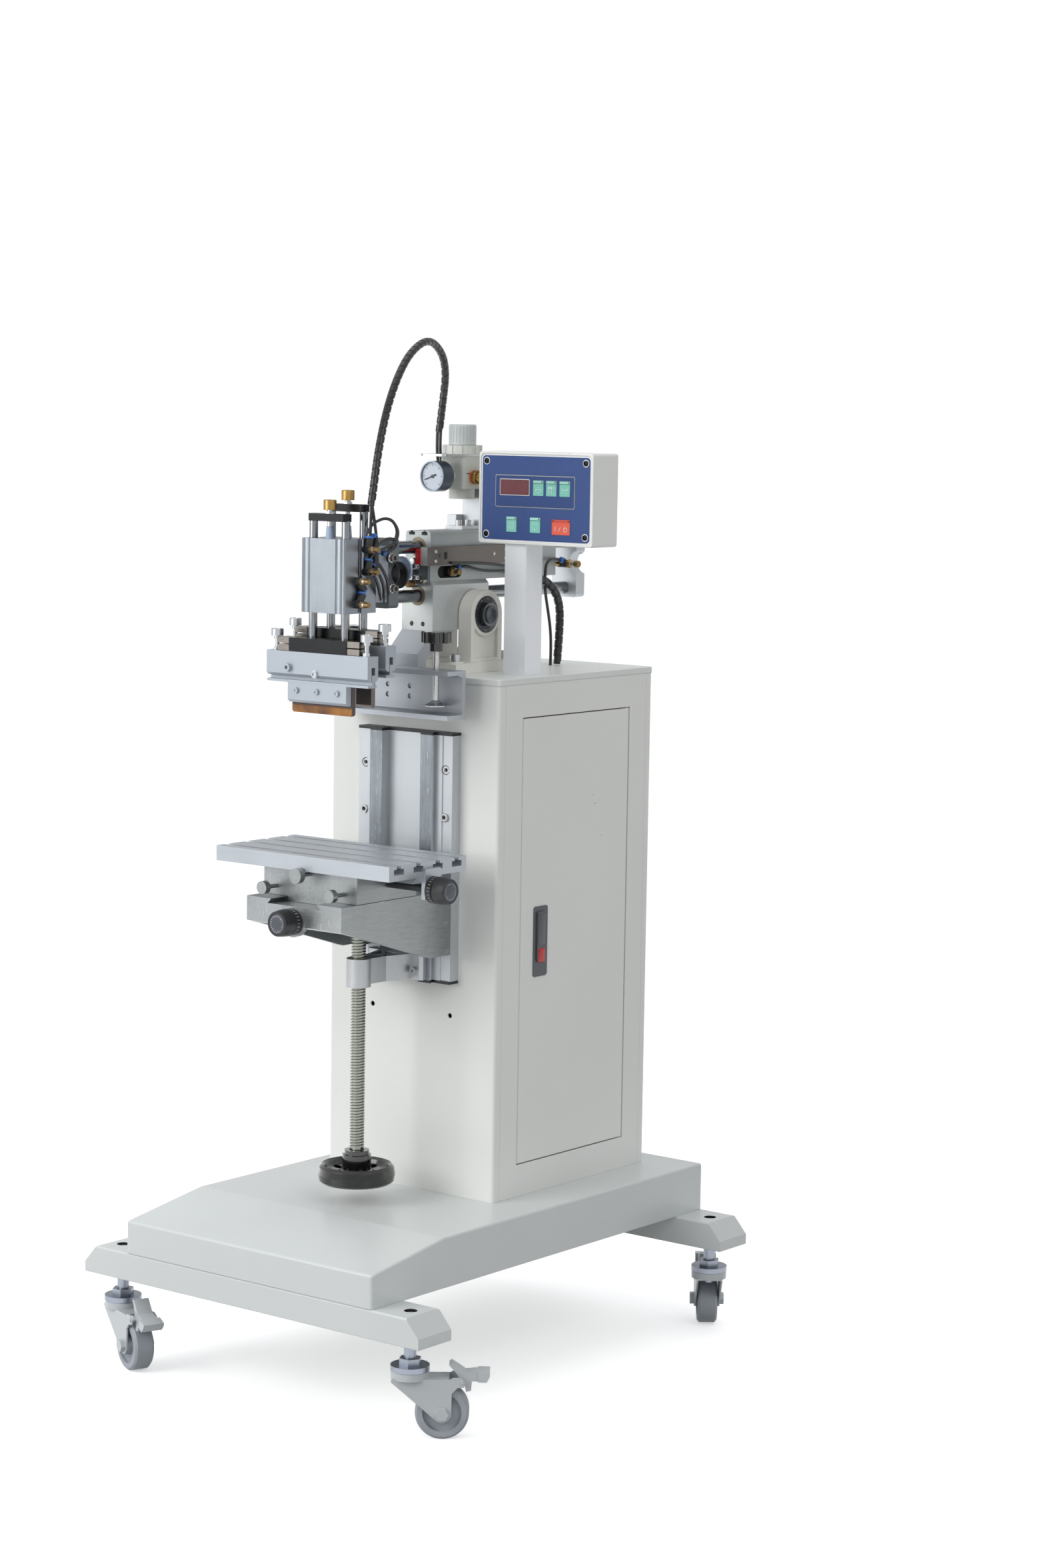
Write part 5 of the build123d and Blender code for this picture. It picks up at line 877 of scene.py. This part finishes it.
for k in range(4):
    for dx, dz, w, h in ((0, 4.9, 3.6, 0.9), (0, 0, 3.6, 0.9), (0, -4.9, 3.6, 0.9),
            (-2.3, 2.5, 0.9, 3.9), (2.3, 2.5, 0.9, 3.9), (-2.3, -2.5, 0.9, 3.9), (2.3, -2.5, 0.9, 3.9),
            (4.0, -4.9, 0.9, 0.9)):
        lean = 0.12 * dz
        parts.append(on_panel("segment", 105.6 + 10.6 * k + dx + lean, 1211.6 + dz, w, h, digit_red, 6,
                0.3, turn=-6.0 if h > w else 0.0))
for sx in (-1, 1):
    for sz in (-1, 1):
        spot = at(PANEL_X + sx * 85.0, OVERLAY_Y - 0.36, PANEL_Z + sz * 49.6)
        parts.append(turned("screw_ring", spot, TO_FRONT, [(5.2, 0), (5.2, 0.15)], print_white, 32))
        parts.append(turned("panel_screw", spot, TO_FRONT,
                [(3.9, 0.1), (3.9, 1.0), (3.2, 1.8), (1.9, 2.1), (1.7, 0.9)], screw_black, 24))
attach(joined("control_overlay", parts), "machine_frame")

# Push-in fittings: brass and black elbows on the flow controls, each with a blue collet that grips a
# 4 mm air tube; the tubes loop out to the right and back.
FITTING_X = 44.0
parts = []
for y, z, lean in ((165.0, 1057.0, 60.0), (165.0, 1087.8, -50.0), (183.0, 1099.8, 80.0),
        (183.0, 1129.5, 80.0)):
    out = (0.0, math.cos(math.radians(lean)), math.sin(math.radians(lean)))
    parts.append(turned("elbow_collet", at(43.1, y, z), out,
            [(5.2, 14.4), (5.8, 14.9), (5.8, 16.8), (5.2, 17.4), (3.0, 17.4), (2.4, 16.6)],
            collet_blue, 28))
for x, y, z, axis in ((FITTING_X, 195.5, 1147.3, (0.1, 0.3, 1)),
        (FITTING_X, 202.6, 1126.0, (0.1, 0.9, 0.3)), (FITTING_X, 214.7, 1124.0, (0.1, 1, 0.1)),
        (FITTING_X, 196.0, 1109.0, (0.1, 0.6, 0.6))):
    parts.append(turned("collet", at(x, y, z), axis,
            [(3.6, -2.5), (3.6, 0.0), (4.3, 0.3), (4.3, 2.0), (3.6, 2.6), (2.3, 2.6)], collet_blue,
            24))
parts.append(turned("fitting_column", at(FITTING_X, 198.0, 1104.0), UP,
        [(4.2, 0), (5.0, 0.8), (5.0, 12.0), (4.4, 12.6), (4.4, 20.0), (5.0, 20.6), (5.0, 32.0),
        (4.2, 33.0), (3.4, 40.0)], black_moulded, 24))
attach(joined("air_fittings", parts), "carriage")
AIR_TUBE_R = 2.1
for name, points in (("upper_air_loop", [(44, 183, 1151), (44.4, 186, 1158), (44.6, 191.5, 1163.6),
            (44.8, 203.5, 1168), (45, 217, 1170.4), (45, 231, 1167), (45, 239.6, 1158),
            (45, 241, 1148), (44.6, 236, 1139), (44.2, 226, 1128), (44, 216, 1124.5)]),
        ("middle_air_loop", [(44, 196, 1131), (46, 203, 1137), (47, 213, 1142), (48, 224, 1143.5),
            (48.4, 234, 1141), (48.4, 237, 1134), (48, 228, 1128), (47, 219, 1125.5),
            (45, 211, 1124.5)]), ("lower_air_loop", [(44, 204.5, 1127), (47, 213, 1130.5),
            (49, 222, 1134), (50, 231, 1138.6), (49, 238, 1146), (47, 240, 1156), (44, 236, 1163)]),
        ("drop_tube_a", [(44, 186, 1106), (46.5, 194, 1094), (46.5, 202, 1080), (42, 210, 1068),
            (35, 219, 1061)]), ("drop_tube_b", [(44.5, 196, 1106), (48.5, 204, 1093), (48, 212, 1078),
            (42, 218, 1066), (35, 226, 1059)]), ("drop_tube_c",
            [(46, 203, 1110), (50, 212, 1096), (49.5, 219, 1080), (43, 226, 1068), (35, 233, 1062)])):
    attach(hose(name, points, AIR_TUBE_R, hose_black), "carriage")


# Sleeved hoses: four thin air tubes gathered in a black spiral wrap, clipped to the regulator at one end
# and to the print units at the other; the thicker one rises behind the control post to the head.
def spiral_wrap(name, route, outer, pitch, finish):
    """Spiral wrap on a hose: a ribbon wound straight, then bent along the hose's own NURBS line."""
    line = hose(name + "_line", route, 0.0, finish)
    reach = line.data.splines[0].calc_length() / MM
    laps = int(reach / pitch)
    step = reach / laps
    low = outer - 1.3
    ribbon = wound(name, [(0.0, low), (0.86 * step, low), (0.06 * step, outer), (0.80 * step, outer)],
        step, laps - 1, 24, "X")
    bend = ribbon.modifiers.new("bend", "CURVE")
    bend.object = line
    bend.deform_axis = "POS_X"
    bpy.ops.object.modifier_apply(modifier="bend")
    placed(ribbon, finish)
    bpy.data.objects.remove(line)
    inner = as_mesh(hose(name + "_core", route, outer - 1.0, finish))
    return joined(name, [ribbon, inner])


loop_route = [(-30, 417, 1283), (-25, 419, 1328), (-17.5, 415.5, 1366), (-8.5, 395, 1394),
    (3, 352, 1411), (14, 303, 1393), (23.5, 266, 1362), (32.5, 233, 1318.5), (39, 208.5, 1264),
    (43, 194.5, 1214), (43.5, 188.8, 1187)]
wrap_route = [(42, 600, 955.3), (42, 606, 1005), (39, 608, 1045), (36, 590, 1070), (34, 560, 1081),
    (32, 525, 1086)]
parts = [spiral_wrap("head_spiral_hose", loop_route, 5.3, 11.0, hose_black)]
for points in ([(44.6, 188, 1189), (45, 187.4, 1165), (44.7, 185.7, 1144.8)],
        [(42.2, 192, 1189), (46, 197.5, 1150), (47, 197, 1132), (45.6, 189.5, 1121.5),
            (44.7, 186, 1115.8)], [(-28.3, 418.4, 1285), (-29.3, 416.9, 1247), (-29.3, 425.6, 1233.4)],
        [(-31.7, 415.6, 1285), (-32.7, 414.1, 1247), (-32.7, 422.8, 1233.4)]):
    parts.append(as_mesh(hose("air_tube", points, AIR_TUBE_R, hose_black)))
head_hose = joined("head_spiral_hose", parts)
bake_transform(head_hose)
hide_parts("head_hose")
rear_wrap = spiral_wrap("rear_spiral_hose", wrap_route, 6.0, 12.0, hose_black)
thin_rear = as_mesh(hose("rear_air_tube", [(25, 624, 1103), (30, 601, 1106), (30, 588, 1100),
        (31, 584, 1089), (32, 582, 1062), (34, 587, 1034), (37, 590, 1007), (38, 591, 979),
        (38, 590, 954)], AIR_TUBE_R, hose_black))
rear_hose = joined("rear_spiral_hose", [rear_wrap, thin_rear])
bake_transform(rear_hose)
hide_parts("rear_hose")

# Rear valve: black flow control with a brass hex and knob on a brass nipple from the back of the head,
# and a blue collet for the thin tube.
VALVE_Y, VALVE_Z = 637, 1097
parts = [turned("valve_nipple", at(16, 618, VALVE_Z), (0, 1, 0), [(4.0, 0), (4.0, 19)], brass, 24),
    turned("valve_body", at(0, VALVE_Y, VALVE_Z), TO_RIGHT,
        [(4.6, 12), (5.5, 13), (5.5, 30), (4.8, 31)], black_moulded, 32),
    turned("valve_hex", at(0, VALVE_Y, VALVE_Z), TO_RIGHT,
        [(5.6, 31), (6.1, 31.6), (6.1, 36.4), (5.6, 37)], brass, 6),
    turned("valve_ring", at(0, VALVE_Y, VALVE_Z), TO_RIGHT,
        [(4.4, 37), (4.4, 41), (3.2, 41.2), (3.2, 43)], zinc, 28),
    turned("valve_knob", at(0, VALVE_Y, VALVE_Z), TO_RIGHT,
        [(4.2, 43), (4.8, 43.6), (4.8, 50.2), (4.2, 51)], old_brass, 28),
    turned("valve_elbow", at(25, 634, 1100), (0, -0.85, 0.4), [(4.6, -2), (4.6, 5), (4.0, 6)],
        black_moulded, 28), turned("valve_collet", at(25, 629, 1102), (0, -0.9, 0.3),
        [(3.6, -1), (4.4, 0), (4.4, 2.2), (3.6, 2.8), (2.3, 2.8)], collet_blue, 24)]
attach(joined("rear_valve", parts), "head")

bpy.context.view_layer.update()
bpy.ops.object.select_all(action="DESELECT")
